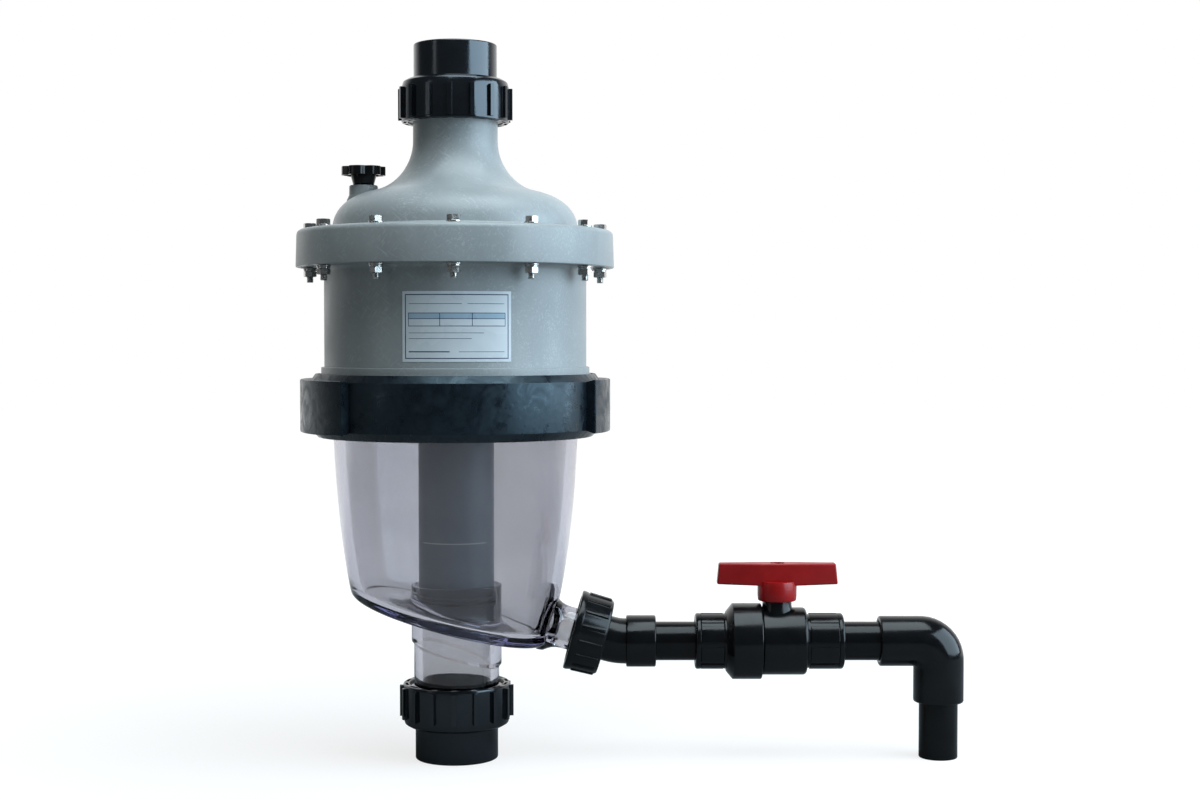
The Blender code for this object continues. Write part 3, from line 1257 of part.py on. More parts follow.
def build_valve_union(line):
    """The valve's union end: a nut with a conical shoulder, and the socket piece that it clamps."""
    nut_end = -VALVE_BALL_OFFSET - GAP
    nut_start = -VALVE_BALL_OFFSET - VALVE_NUT_LENGTH
    hole = around(VALVE_SOCKET_RADIUS, UNION_SIDES)
    bore = around(VALVE_THREAD_RADIUS, UNION_SIDES)
    nut = [
        (hole, nut_start),
        (hole + VALVE_NUT_MOUTH_BEVEL, nut_start),
        (VALVE_NUT_RADIUS, nut_start + VALVE_NUT_SHOULDER),
        (VALVE_NUT_RADIUS, nut_end - VALVE_NUT_MOUTH_BEVEL),
        (VALVE_NUT_RADIUS - VALVE_NUT_MOUTH_BEVEL, nut_end),
        (bore, nut_end),
        (bore, nut_start + VALVE_LIP),
        (hole, nut_start + VALVE_LIP),
    ]
    made("valve_union_nut", spun(nut, UNION_SIDES), black_plastic(), line)
    start = nut_start - VALVE_CONNECTOR_EXPOSED
    flange_start = nut_start + VALVE_LIP + GAP
    flange_end = flange_start + VALVE_FLANGE
    nose = VALVE_CHAMBER_RADIUS - GAP
    nose_end = -SEAT_BACK - GAP
    connector = [
        (PIPE_SOCKET_RADIUS, start),
        (VALVE_SOCKET_RADIUS, start),
        (VALVE_SOCKET_RADIUS, flange_start),
        (VALVE_FLANGE_RADIUS, flange_start),
        (VALVE_FLANGE_RADIUS, flange_end),
        (nose, flange_end),
        (nose, nose_end),
        (VALVE_BORE_RADIUS, nose_end),
        (VALVE_BORE_RADIUS, start + VALVE_SOCKET_DEPTH),
        (PIPE_SOCKET_RADIUS, start + VALVE_SOCKET_DEPTH),
    ]
    made("valve_end_connector", spun(connector, UNION_SIDES), black_plastic(), line)


def seat_face(radius):
    """How far along the axis the seat's cone lies at this radius, clear of the ball."""
    clear = (BALL_RADIUS + GAP) / cos(pi / PIPE_SIDES)
    return (clear - radius * sin(SEAT_CONTACT_ANGLE)) / cos(SEAT_CONTACT_ANGLE)


def build_valve_seats(line):
    for name, side in (("valve_seat_inlet", -1), ("valve_seat_outlet", 1)):
        profile = [
            (SEAT_INNER_RADIUS, side * SEAT_BACK),
            (SEAT_OUTER_RADIUS, side * SEAT_BACK),
            (SEAT_OUTER_RADIUS, side * seat_face(SEAT_LAND_RADIUS)),
            (SEAT_LAND_RADIUS, side * seat_face(SEAT_LAND_RADIUS)),
            (SEAT_INNER_RADIUS, side * seat_face(SEAT_INNER_RADIUS)),
        ]
        made(name, spun(profile, PIPE_SIDES), white_seat_plastic(), line)


def build_valve_ball(turn):
    """Bored ball with the slot that the stem's tongue turns."""
    rows = 9
    latitudes = [pi * i / rows for i in range(rows + 1)]
    profile = [(BALL_RADIUS * sin(a), BALL_RADIUS * cos(a)) for a in latitudes]
    profile[0] = (0, BALL_RADIUS)
    profile[-1] = (0, -BALL_RADIUS)
    ball = made("valve_ball", spun(profile, SMALL_SIDES), stainless_steel(), turn)
    ends = (-BALL_RADIUS - OVERRUN, BALL_RADIUS + OVERRUN)
    bore = stacked([circle(VALVE_BORE_RADIUS, z, SMALL_SIDES) for z in ends])
    combine(ball, helper("ball_bore_cutter", bore, turn, FACING_X), "DIFFERENCE")
    half_width = STEM_TONGUE_WIDTH / 2 + GAP
    half_length = BALL_RADIUS + OVERRUN
    base = BALL_RADIUS - STEM_TONGUE_DEPTH
    slot = block((-half_length, -half_width, base), (half_length, half_width, BALL_RADIUS + OVERRUN))
    combine(ball, helper("ball_slot_cutter", slot, turn), "DIFFERENCE")


def build_valve_stem(turn):
    """Stem: tongue in the ball's slot, sealed shank in the neck, and the head inside the handle."""
    groove = STEM_RADIUS - 2 * STEM_SEAL_SECTION
    half = STEM_SEAL_SECTION + GAP
    profile = [
        (0, STEM_TOP),
        (STEM_HEAD_RADIUS, STEM_TOP),
        (STEM_HEAD_RADIUS, VALVE_NECK_TOP),
        (STEM_RADIUS, VALVE_NECK_TOP),
        (STEM_RADIUS, STEM_SEAL_HEIGHT + half),
        (groove, STEM_SEAL_HEIGHT + half),
        (groove, STEM_SEAL_HEIGHT - half),
        (STEM_RADIUS, STEM_SEAL_HEIGHT - half),
        (STEM_RADIUS, STEM_SHOULDER_HEIGHT),
        (0, STEM_SHOULDER_HEIGHT),
    ]
    stem = made("valve_stem", spun(profile, SMALL_SIDES), stainless_steel(), turn)
    half_width = STEM_TONGUE_WIDTH / 2
    half_length = STEM_TONGUE_LENGTH / 2
    foot = BALL_RADIUS - STEM_TONGUE_DEPTH + GAP
    tongue = block((-half_length, -half_width, foot), (half_length, half_width, STEM_SHOULDER_HEIGHT + EMBED))
    combine(stem, helper("stem_tongue", tongue, turn), "UNION")
    ring = groove + STEM_SEAL_SECTION + GAP
    seal("stem_seal", turn, ring, STEM_SEAL_SECTION, STEM_SEAL_HEIGHT, SMALL_SIDES)


def handle_bar():
    """The T-bar: thicker in the middle, its underside dipping to the hub and its ends leaning in."""
    half = HANDLE_BAR_LENGTH / 2
    mid = HANDLE_BAR_MID_LENGTH / 2
    plan = (
        (-half, HANDLE_BAR_END_WIDTH / 2, 0),
        (-mid, HANDLE_BAR_MID_WIDTH / 2, HANDLE_SAG),
        (mid, HANDLE_BAR_MID_WIDTH / 2, HANDLE_SAG),
        (half, HANDLE_BAR_END_WIDTH / 2, 0),
    )
    loops = []
    for x, width, sag in plan:
        top_x = x * (1 - HANDLE_END_SLANT / half)
        low = HANDLE_BAR_BASE + HANDLE_SAG - sag
        section = ((x, -width, low), (x, width, low), (top_x, width, HANDLE_BAR_TOP), (top_x, -width, HANDLE_BAR_TOP))
        loops.append([Vector(point) for point in section])
    bm = stacked(loops)
    bmesh.ops.recalc_face_normals(bm, faces=bm.faces)
    bmesh.ops.bevel(bm, geom=bm.edges, offset=HANDLE_EDGE, segments=1, affect="EDGES")
    return bm


def build_handle(turn):
    hub_top = HANDLE_BAR_BASE + HANDLE_SAG + EMBED
    cavity_top = HANDLE_HUB_FOOT + HANDLE_CAVITY_DEPTH
    hole = STEM_HEAD_RADIUS + GAP
    hole_top = STEM_TOP + GAP
    foot = HANDLE_HUB_RADIUS - HANDLE_HUB_TAPER
    handle = made("valve_handle", handle_bar(), red_plastic(), turn)
    hub = stacked(
        [
            circle(foot, HANDLE_HUB_FOOT, PIPE_SIDES),
            circle(HANDLE_HUB_RADIUS, hub_top, PIPE_SIDES),
        ]
    )
    combine(handle, helper("handle_hub", hub, turn), "UNION")
    cavity = [
        (0, HANDLE_HUB_FOOT - OVERRUN),
        (HANDLE_CAVITY_RADIUS, HANDLE_HUB_FOOT - OVERRUN),
        (HANDLE_CAVITY_RADIUS, cavity_top),
        (hole, cavity_top),
        (hole, hole_top),
        (0, hole_top),
    ]
    combine(handle, helper("handle_cavity_cutter", spun(cavity, SMALL_SIDES), turn), "DIFFERENCE")


def build_valve(axis):
    """The valve's pieces share the ball's centre: one empty faces along the pipe and one turns with the handle."""
    ball = seat_empty("ball_centre", axis, (BALL_X, 0, PIPE_Z))
    line = seat_empty("valve_line_axis", ball, (0, 0, 0), (0, pi / 2, 0))
    turn = seat_empty("valve_stem_axis", ball, (0, 0, 0))
    build_valve_body(line, ball)
    build_valve_union(line)
    build_valve_seats(line)
    build_valve_ball(turn)
    build_valve_stem(turn)
    build_handle(turn)


# Elbow
def elbow_reach(angle):
    """The elbow's thickness along a ray from its inner corner, out to the long outer bend."""
    offset = ELBOW_RADIUS + ELBOW_INNER_CORNER - (ELBOW_BEND_RADIUS - ELBOW_RADIUS)
    towards = offset * (sin(angle) + cos(angle))
    return towards + sqrt(ELBOW_BEND_RADIUS**2 - 2 * offset**2 + towards**2)


def elbow_loop(angle):
    """An oval section of the bend, in the plane through the inner corner at this angle from upright."""
    pivot = Vector((-ELBOW_RADIUS - ELBOW_INNER_CORNER, 0, -ELBOW_RADIUS - ELBOW_INNER_CORNER))
    outward = Vector((sin(angle), 0, cos(angle)))
    straight = 2 * ELBOW_RADIUS + ELBOW_INNER_CORNER
    outer = elbow_reach(angle) if 0 < angle < pi / 2 - SHARP_ANGLE / 90 else straight
    inner = ELBOW_INNER_CORNER
    centre = pivot + outward * (outer + inner) / 2
    tall = (outer - inner) / 2
    loop = []
    for i in range(PIPE_SIDES):
        a = tau * i / PIPE_SIDES
        loop.append(centre + outward * tall * cos(a) + Vector((0, ELBOW_RADIUS * sin(a), 0)))
    return loop


def build_elbow(axis):
    corner = seat_empty("elbow_corner", axis, (ELBOW_X, 0, PIPE_Z))
    steps = [pi / 2 * i / ELBOW_STEPS for i in range(ELBOW_STEPS + 1)]
    bend = [elbow_loop(angle) for angle in steps]
    straight_start = Vector((-ELBOW_REACH - bend[0][0].x, 0, 0))
    straight_end = Vector((0, 0, -ELBOW_DROP - bend[-1][0].z))
    loops = [[point + straight_start for point in bend[0]]]
    loops += bend
    loops.append([point + straight_end for point in bend[-1]])
    elbow = made("drain_elbow", stacked(loops), black_plastic(), corner)
    for name, mouth, facing in (
        ("elbow_inlet_cutter", -ELBOW_REACH, FACING_X),
        ("elbow_outlet_cutter", -ELBOW_DROP, Matrix.Identity(4)),
    ):
        tool = [
            (0, mouth - OVERRUN),
            (PIPE_SOCKET_RADIUS, mouth - OVERRUN),
            (PIPE_SOCKET_RADIUS, mouth + PIPE_INSERT + GAP),
            (PIPE_BORE_RADIUS, mouth + PIPE_INSERT + GAP),
            (PIPE_BORE_RADIUS, PIPE_BORE_RADIUS / 2),
            (0, PIPE_BORE_RADIUS / 2),
        ]
        combine(elbow, helper(name, spun(tool, PIPE_SIDES), corner, facing), "DIFFERENCE")


def build_pipes(axis):
    line = seat_empty("drain_line_axis", axis, (0, 0, PIPE_Z), (0, pi / 2, 0))
    pipe("drain_pipe_1", line, DRAIN_SOCKET_END_X - PIPE_INSERT, VALVE_START_X + PIPE_INSERT)
    elbow_mouth = ELBOW_X - ELBOW_REACH
    pipe("drain_pipe_2", line, VALVE_END_X - PIPE_INSERT, elbow_mouth + PIPE_INSERT)
    leg = seat_empty("end_pipe_axis", axis, (ELBOW_X, 0, 0))
    pipe("drain_end_pipe", leg, 0, PIPE_Z - ELBOW_DROP + PIPE_INSERT)


def main():
    for obj in list(bpy.data.objects):
        bpy.data.objects.remove(obj, do_unlink=True)
    axis = seat_empty("vessel_axis", None, (BODY_X, 0, 0))
    holes = bolt_hole_cutter(axis)
    build_lid(axis, holes)
    build_bleed_screw(axis)
    build_housing(axis, holes)
    build_fasteners(axis)
    build_cyclones(axis)
    build_vortex_plate(axis)
    build_inlet_tube(axis)
    build_lock_ring(axis)
    build_sump(axis)
    outlet = seat_empty("outlet_union_face", axis, (0, 0, LID_FACE_Z))
    inlet = seat_empty("inlet_union_face", axis, (0, 0, INLET_FACE_Z), (pi, 0, 0))
    build_large_union("outlet", outlet, OUTLET_TAIL_LENGTH)
    build_large_union("inlet", inlet, INLET_TAIL_LENGTH)
    build_drain_union(axis)
    build_valve(axis)
    build_elbow(axis)
    build_pipes(axis)


main()
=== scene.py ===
# %% [markdown]
# # A centrifugal water filter with a clear sump
#
# This lesson dresses the plain CAD model of a water pre-filter. Dirty water comes in at the bottom, rises
# through a grey tube, spins in small cyclones and leaves at the top, while the dirt falls into the clear sump
# and is let out through a ball valve at the side. Each cell below makes one piece or one finish.
#
# The CAD model is loaded first. It is the frame: every new piece is put where its CAD node is, rides on the
# same moving body, and stays inside the same outer box.

# %% Load the frame
from math import atan2, cos, degrees, hypot, pi, radians, sin, sqrt, tan, tau

import bmesh
import bpy
from mathutils import Matrix, Vector


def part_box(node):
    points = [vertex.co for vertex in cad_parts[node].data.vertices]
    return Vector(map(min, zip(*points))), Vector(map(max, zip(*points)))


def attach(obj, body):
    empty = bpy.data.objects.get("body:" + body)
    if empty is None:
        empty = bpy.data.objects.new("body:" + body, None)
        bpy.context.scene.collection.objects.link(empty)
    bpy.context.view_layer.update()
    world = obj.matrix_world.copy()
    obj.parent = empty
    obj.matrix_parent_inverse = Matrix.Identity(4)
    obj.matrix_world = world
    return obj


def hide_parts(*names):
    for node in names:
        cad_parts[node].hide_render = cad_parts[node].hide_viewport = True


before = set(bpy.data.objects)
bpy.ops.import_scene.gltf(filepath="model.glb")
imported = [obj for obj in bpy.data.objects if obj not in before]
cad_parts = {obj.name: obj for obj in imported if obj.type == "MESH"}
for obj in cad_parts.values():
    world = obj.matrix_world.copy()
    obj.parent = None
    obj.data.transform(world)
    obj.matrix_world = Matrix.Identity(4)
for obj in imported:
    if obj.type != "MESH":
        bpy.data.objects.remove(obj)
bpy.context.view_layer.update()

MM = 0.001

# %% [markdown]
# ## The camera
#
# The photograph was taken from straight in front, a little above the middle and from about 1.6 m away, so the
# rims of the unions show as thin ovals. A 55.6 mm lens on a 36 mm sensor gives the same perspective. The camera
# comes first because every later step is compared with the photograph through it.

# %% Camera
LENS = 55.6
SENSOR_WIDTH = 36
CAMERA_RIGHT = 126 * MM
CAMERA_DISTANCE = 1622 * MM
CAMERA_HEIGHT = 367 * MM
LOOK_DOWN = 1.854

LID_LOW, LID_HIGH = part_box("lid")
AXIS_X = (LID_LOW.x + LID_HIGH.x) / 2
camera_data = bpy.data.cameras.new("camera")
camera_data.lens = LENS
camera_data.sensor_width = SENSOR_WIDTH
camera = bpy.data.objects.new("camera", camera_data)
camera.location = (AXIS_X + CAMERA_RIGHT, -CAMERA_DISTANCE, CAMERA_HEIGHT)
camera.rotation_euler = (radians(90 - LOOK_DOWN), 0, 0)
bpy.context.scene.collection.objects.link(camera)
bpy.context.scene.camera = camera
print("vessel axis at x =", round(AXIS_X / MM, 1), "mm")

# %% [markdown]
# ## Floor, background and light
#
# The picture is a studio shot on white. The world shows plain white to the camera and through the clear
# plastic. Glossy surfaces see that white backdrop too, behind the object where it stands, and a dim room in
# front of it, so black parts stay black with pale rims. Everything else gets a weak grey fill.

# %% World
def node_tree(owner):
    owner.use_nodes = True
    owner.node_tree.nodes.clear()
    return owner.node_tree


def node(tree, kind, **values):
    """Adds a node. Values are inputs by name, with _ for a space, or the node's own settings."""
    made = tree.nodes.new(kind)
    for key, value in values.items():
        name = key.replace("_", " ")
        if name in made.inputs:
            made.inputs[name].default_value = value
        else:
            setattr(made, key, value)
    return made


def link(tree, source, target):
    tree.links.new(source, target)


def calc(tree, operation, first, second):
    """A Math node. Its inputs are numbers or sockets."""
    made = tree.nodes.new("ShaderNodeMath")
    made.operation = operation
    for socket, value in zip(made.inputs, (first, second)):
        if isinstance(value, (int, float)):
            socket.default_value = value
        else:
            link(tree, value, socket)
    return made.outputs[0]


def spread(tree, value, low, high, least, most):
    """A smooth step of a value from one range to another."""
    made = node(tree, "ShaderNodeMapRange", interpolation_type="SMOOTHSTEP")
    for socket, number in zip(list(made.inputs)[1:5], (low, high, least, most)):
        socket.default_value = number
    link(tree, value, made.inputs[0])
    return made.outputs[0]


world = bpy.data.worlds.new("studio")
bpy.context.scene.world = world
tree = node_tree(world)
path = node(tree, "ShaderNodeLightPath")
coords = node(tree, "ShaderNodeTexCoord")
parts = node(tree, "ShaderNodeSeparateXYZ")
link(tree, coords.outputs["Generated"], parts.inputs[0])
backdrop = spread(tree, parts.outputs["Y"], 0.3, 0.85, 0.05, 1.0)
glossy = calc(tree, "MULTIPLY", path.outputs["Is Glossy Ray"], backdrop)
direct = calc(tree, "MAXIMUM", path.outputs["Is Camera Ray"], path.outputs["Is Transmission Ray"])
fill = node(tree, "ShaderNodeBackground", Color=(0.86, 1.0, 1.0, 1), Strength=0.15)
dim = node(tree, "ShaderNodeBackground", Color=(0.7, 0.85, 1.0, 1), Strength=0.05)
white = node(tree, "ShaderNodeBackground", Color=(1, 1, 1, 1), Strength=1.0)
room = node(tree, "ShaderNodeMixShader")
both = node(tree, "ShaderNodeMixShader")
link(tree, path.outputs["Is Glossy Ray"], room.inputs[0])
link(tree, fill.outputs[0], room.inputs[1])
link(tree, dim.outputs[0], room.inputs[2])
link(tree, calc(tree, "MAXIMUM", direct, glossy), both.inputs[0])
link(tree, room.outputs[0], both.inputs[1])
link(tree, white.outputs[0], both.inputs[2])
link(tree, both.outputs[0], node(tree, "ShaderNodeOutputWorld").inputs[0])
bpy.context.scene.view_settings.view_transform = "Standard"
print("world:", world.name)

# %% [markdown]
# ### Lamps and floor
#
# The photograph has one large cool window on the right and a second broad light overhead, a little in front,
# which leaves the flange's shadow on the housing. The floor is lit like the object and adds a plain glow that
# only the camera, the clear plastic and, behind the object, glossy surfaces see, so it reads as white and still
# keeps the shadow. The glow grows to full white further out, where no shadow falls.

# %% Lamps
LAMP_AIM = Vector((0, 0, 0.33))


def lamp(name, turn, distance, height, size, radiance, colour=(1, 1, 1)):
    """A softbox. Turn is seen from above, from the camera's side round to the right, in degrees."""
    data = bpy.data.lights.new(name, "AREA")
    data.shape = "RECTANGLE"
    data.size, data.size_y = size
    data.energy = radiance * pi * size[0] * size[1]
    data.color = colour
    light = bpy.data.objects.new(name, data)
    place = Vector((sin(radians(turn)) * distance, -cos(radians(turn)) * distance, height))
    light.location = place
    light.rotation_euler = (LAMP_AIM - place).to_track_quat("-Z", "Y").to_euler()
    bpy.context.scene.collection.objects.link(light)


lamp("window_right", 76, 1.7, 0.85, (2.2, 1.4), 5.4, (0.66, 0.85, 1.0))
lamp("softbox_top", 20, 0.4, 1.9, (1.6, 1.4), 4.9, (0.8, 0.93, 1.0))
lamp("softbox_left", -58, 1.7, 0.8, (0.22, 1.2), 0.9)

# %% Floor
bpy.ops.object.select_all(action="DESELECT")
bpy.ops.mesh.primitive_plane_add(size=16, location=(0, 0, 0))
floor = bpy.context.object
floor.name = "floor"
floor_paint = bpy.data.materials.new("floor_paint")
tree = node_tree(floor_paint)
coords = node(tree, "ShaderNodeTexCoord")
length = node(tree, "ShaderNodeVectorMath", operation="LENGTH")
link(tree, coords.outputs["Object"], length.inputs[0])
parts = node(tree, "ShaderNodeSeparateXYZ")
link(tree, coords.outputs["Object"], parts.inputs[0])
path = node(tree, "ShaderNodeLightPath")
behind = spread(tree, parts.outputs["Y"], 0.3, 1.3, 0.0, 1.0)
glossy = calc(tree, "MULTIPLY", path.outputs["Is Glossy Ray"], behind)
direct = calc(tree, "MAXIMUM", path.outputs["Is Camera Ray"], path.outputs["Is Transmission Ray"])
direct = calc(tree, "MAXIMUM", direct, glossy)
paint = node(tree, "ShaderNodeBsdfDiffuse", Color=(0.25, 0.25, 0.25, 1))
glow = node(tree, "ShaderNodeEmission", Color=(1, 1, 1, 1))
strength = calc(tree, "MULTIPLY", direct, spread(tree, length.outputs["Value"], 0.3, 1.3, 0.78, 1.0))
link(tree, strength, glow.inputs["Strength"])
both = node(tree, "ShaderNodeAddShader")
link(tree, paint.outputs[0], both.inputs[0])
link(tree, glow.outputs[0], both.inputs[1])
link(tree, both.outputs[0], node(tree, "ShaderNodeOutputMaterial").inputs[0])
floor.data.materials.append(floor_paint)
print("floor:", floor.name)


# %% [markdown]
# ## Finishes
#
# All the finishes are procedural: noise in Object coordinates drives colour, roughness and a fine bump. One
# helper builds the common part, a Principled shader with three noises, and each finish then sets its own
# colours and scales. Sizes in these nodes are per metre, so a scale of 100 has features of about 10 mm.

# %% A helper for moulded surfaces
def noise(tree, coords, scale, detail=4.0, distortion=0.0, stretch=(1, 1, 1)):
    mapping = node(tree, "ShaderNodeMapping")
    mapping.inputs["Scale"].default_value = stretch
    link(tree, coords.outputs["Object"], mapping.inputs[0])
    made = node(tree, "ShaderNodeTexNoise", Scale=scale, Detail=detail, Distortion=distortion)
    link(tree, mapping.outputs[0], made.inputs["Vector"])
    return made.outputs["Fac"]


def ramp(tree, value, stops):
    made = node(tree, "ShaderNodeValToRGB")
    elements = made.color_ramp.elements
    while len(elements) < len(stops):
        elements.new(0.5)
    for element, (place, colour) in zip(elements, stops):
        element.position = place
        element.color = (*colour, 1) if isinstance(colour, tuple) else (colour, colour, colour, 1)
    link(tree, value, made.inputs[0])
    return made.outputs[0]


def bump(tree, height, distance, strength=1.0, below=None):
    made = node(tree, "ShaderNodeBump", Strength=strength, Distance=distance)
    link(tree, height, made.inputs["Height"])
    if below is not None:
        link(tree, below, made.inputs["Normal"])
    return made.outputs[0]


def finish(name, colours, roughness, cloud, grain, relief, stretch=(1, 1, 1), distortion=0.0, **sockets):
    """A moulded finish: clouds of colour, clouds of roughness and a fine grain in relief."""
    material = bpy.data.materials.new(name)
    tree = node_tree(material)
    coords = node(tree, "ShaderNodeTexCoord")
    shader = node(tree, "ShaderNodeBsdfPrincipled")
    for key, value in sockets.items():
        shader.inputs[key.replace("_", " ")].default_value = value
    clouds = noise(tree, coords, cloud, 6.0, distortion, stretch)
    patches = noise(tree, coords, cloud * 0.6, 3.0, distortion)
    fine = noise(tree, coords, grain, 3.0)
    link(tree, ramp(tree, clouds, [(0.3, colours[0]), (0.7, colours[1])]), shader.inputs["Base Color"])
    link(tree, ramp(tree, patches, [(0.35, roughness[0]), (0.65, roughness[1])]), shader.inputs["Roughness"])
    link(tree, bump(tree, fine, relief), shader.inputs["Normal"])
    link(tree, shader.outputs[0], node(tree, "ShaderNodeOutputMaterial").inputs[0])
    return material


print("helpers for finishes are ready")

# %% [markdown]
# ### Glass-filled grey plastic
#
# The lid and the housing are moulded in a blue-grey plastic filled with short glass fibres. The fibres swirl
# with the flow of the melt and leave short pale strokes in the skin. Two fine noises that are stretched along
# crossing diagonals give the strokes, a broad one gathers them into patches, and a last one adds specks.

# %% Grey plastics
grey_filled = finish(
    "grey_filled_plastic", ((0.262, 0.28, 0.283), (0.325, 0.342, 0.345)), (0.32, 0.46), 16, 900, 0.00006,
    stretch=(1, 1, 0.6), distortion=0.9, IOR=1.45,
)
tree = grey_filled.node_tree
coords = [n for n in tree.nodes if n.type == "TEX_COORD"][0]
shader = [n for n in tree.nodes if n.type == "BSDF_PRINCIPLED"][0]
base = shader.inputs["Base Color"].links[0].from_socket


def strokes(tree, coords, lean, scale):
    """Short strokes along a leaning direction. A Texture mapping turns first and stretches after that."""
    mapping = node(tree, "ShaderNodeMapping", vector_type="TEXTURE")
    mapping.inputs["Rotation"].default_value = (radians(lean * 0.4), radians(lean), 0)
    mapping.inputs["Scale"].default_value = (1, 1, 7)
    link(tree, coords.outputs["Object"], mapping.inputs[0])
    made = node(tree, "ShaderNodeTexNoise", Scale=scale, Detail=3.0, Distortion=0.5)
    link(tree, mapping.outputs[0], made.inputs["Vector"])
    return ramp(tree, made.outputs["Fac"], [(0.56, 0.0), (0.72, 1.0)])


crossing = calc(tree, "MAXIMUM", strokes(tree, coords, 38, 700), strokes(tree, coords, -52, 620))
flow = ramp(tree, noise(tree, coords, 26, 5.0, 1.4), [(0.4, 0.15), (0.65, 1.0)])
wisps = calc(tree, "MULTIPLY", crossing, flow)
specks = ramp(tree, noise(tree, coords, 1500, 2.0, 0.0), [(0.6, 0.0), (0.72, 1.0)])
paler = node(tree, "ShaderNodeMix", data_type="RGBA", blend_type="MIX")
MIX_A, MIX_B, MIX_RESULT = 6, 7, 2
paler.inputs[MIX_B].default_value = (0.56, 0.59, 0.6, 1)
strength = calc(tree, "ADD", calc(tree, "MULTIPLY", wisps, 0.42), calc(tree, "MULTIPLY", specks, 0.1))
link(tree, strength, paler.inputs[0])
link(tree, base, paler.inputs[MIX_A])
link(tree, paler.outputs[MIX_RESULT], shader.inputs["Base Color"])
grey_tube = finish(
    "grey_tube_plastic", ((0.14, 0.165, 0.19), (0.18, 0.205, 0.23)), (0.3, 0.42), 18, 700, 0.00004,
    stretch=(1, 1, 0.3), distortion=0.6, IOR=1.47,
)
print("finish:", grey_filled.name, "and", grey_tube.name)

# %% [markdown]
# ### Black plastics
#
# Unions, valve and pipes are smooth black plastic. Handling and dust make the gloss uneven, so the roughness
# has slow patches and the skin a faint orange peel. The lock ring is duller and more scuffed, and the black is
# never pure: it keeps a trace of blue.

# %% Black plastics
black_gloss = finish(
    "black_plastic", ((0.003, 0.004, 0.0055), (0.006, 0.0075, 0.0095)), (0.1, 0.2), 45, 420, 0.00004,
    distortion=0.8, IOR=1.64, Specular_Tint=(0.82, 0.92, 1.0, 1),
)
black_ring = finish(
    "black_ring_plastic", ((0.004, 0.006, 0.009), (0.009, 0.013, 0.018)), (0.22, 0.46), 60, 260, 0.00012,
    distortion=2.6, IOR=1.52, Specular_Tint=(0.6, 0.85, 1.0, 1),
)
black_pipe = finish(
    "black_pipe_plastic", ((0.002, 0.0022, 0.0026), (0.005, 0.0055, 0.006)), (0.14, 0.26), 60, 520, 0.00005,
    stretch=(0.25, 1, 1), distortion=0.4, IOR=1.33,
)
black_line = finish(
    "black_line_plastic", ((0.002, 0.0024, 0.003), (0.005, 0.0056, 0.0065)), (0.12, 0.24), 45, 420, 0.00004,
    distortion=0.8, IOR=1.38,
)
print("finish:", black_gloss.name, black_ring.name, black_pipe.name, black_line.name)

# %% [markdown]
# ### Clear sump
#
# The sump is a thick clear moulding with a slight smoky violet tint. Light bends at every wall, so the shader
# needs full transmission and the plastic's own index of refraction, and the mesh needs real wall thickness.
# Half of the tint sits in the skin and half is absorption inside the wall, which turns the long paths at the
# edges violet. Faint waves in the skin keep the reflections from looking like glass.

# %% Clear plastic
clear_plastic = bpy.data.materials.new("clear_plastic")
tree = node_tree(clear_plastic)
coords = node(tree, "ShaderNodeTexCoord")
shader = node(
    tree, "ShaderNodeBsdfPrincipled", IOR=1.5, Transmission_Weight=1.0, Specular_IOR_Level=0.5
)
waves = noise(tree, coords, 22, 2.0, 0.3)
haze = noise(tree, coords, 60, 4.0, 0.8)
skin = ramp(tree, waves, [(0.3, (0.56, 0.56, 0.565)), (0.7, (0.61, 0.61, 0.61))])
link(tree, skin, shader.inputs["Base Color"])
link(tree, ramp(tree, haze, [(0.45, 0.0), (0.75, 0.045)]), shader.inputs["Roughness"])
link(tree, bump(tree, waves, 0.0006, 0.25), shader.inputs["Normal"])
tint = node(tree, "ShaderNodeVolumeAbsorption", Color=(0.3, 0.33, 0.68, 1), Density=14.0)
output = node(tree, "ShaderNodeOutputMaterial")
link(tree, shader.outputs[0], output.inputs["Surface"])
link(tree, tint.outputs[0], output.inputs["Volume"])
print("finish:", clear_plastic.name)

# %% [markdown]
# ### Handle, steel, rubber and label
#
# The handle is a satin red plastic. The bolts are stainless steel, so their roughness follows fine turning
# marks. The seals are matt rubber, and the valve's seats are a smooth white plastic.

# %% The other finishes
red_plastic = finish(
    "red_plastic", ((0.27, 0.003, 0.004), (0.34, 0.006, 0.007)), (0.3, 0.44), 50, 600, 0.00006,
    distortion=0.7, IOR=1.4,
)
steel = finish(
    "stainless_steel", ((0.5, 0.5, 0.48), (0.72, 0.71, 0.69)), (0.16, 0.34), 300, 2200, 0.00003,
    stretch=(1, 1, 6), Metallic=1.0,
)
rubber = finish("seal_rubber", ((0.008, 0.008, 0.008), (0.02, 0.02, 0.02)), (0.5, 0.7), 120, 1500, 0.00005)
seat_white = finish("white_seat_plastic", ((0.7, 0.7, 0.67), (0.82, 0.82, 0.8)), (0.3, 0.45), 90, 800, 0.00003)
label_paper = finish("label_film", ((0.62, 0.66, 0.69), (0.7, 0.74, 0.77)), (0.24, 0.36), 40, 900, 0.00002)
label_ink = finish("label_ink", ((0.012, 0.03, 0.09), (0.02, 0.045, 0.12)), (0.25, 0.36), 60, 900, 0.00002)
label_tint = finish("label_tint", ((0.32, 0.45, 0.55), (0.38, 0.5, 0.6)), (0.25, 0.36), 60, 900, 0.00002)
mark_ink = finish("level_mark_ink", ((0.42, 0.45, 0.46), (0.55, 0.58, 0.58)), (0.4, 0.5), 90, 900, 0.00002)
print("finishes made:", len([m for m in bpy.data.materials if m.use_nodes]))

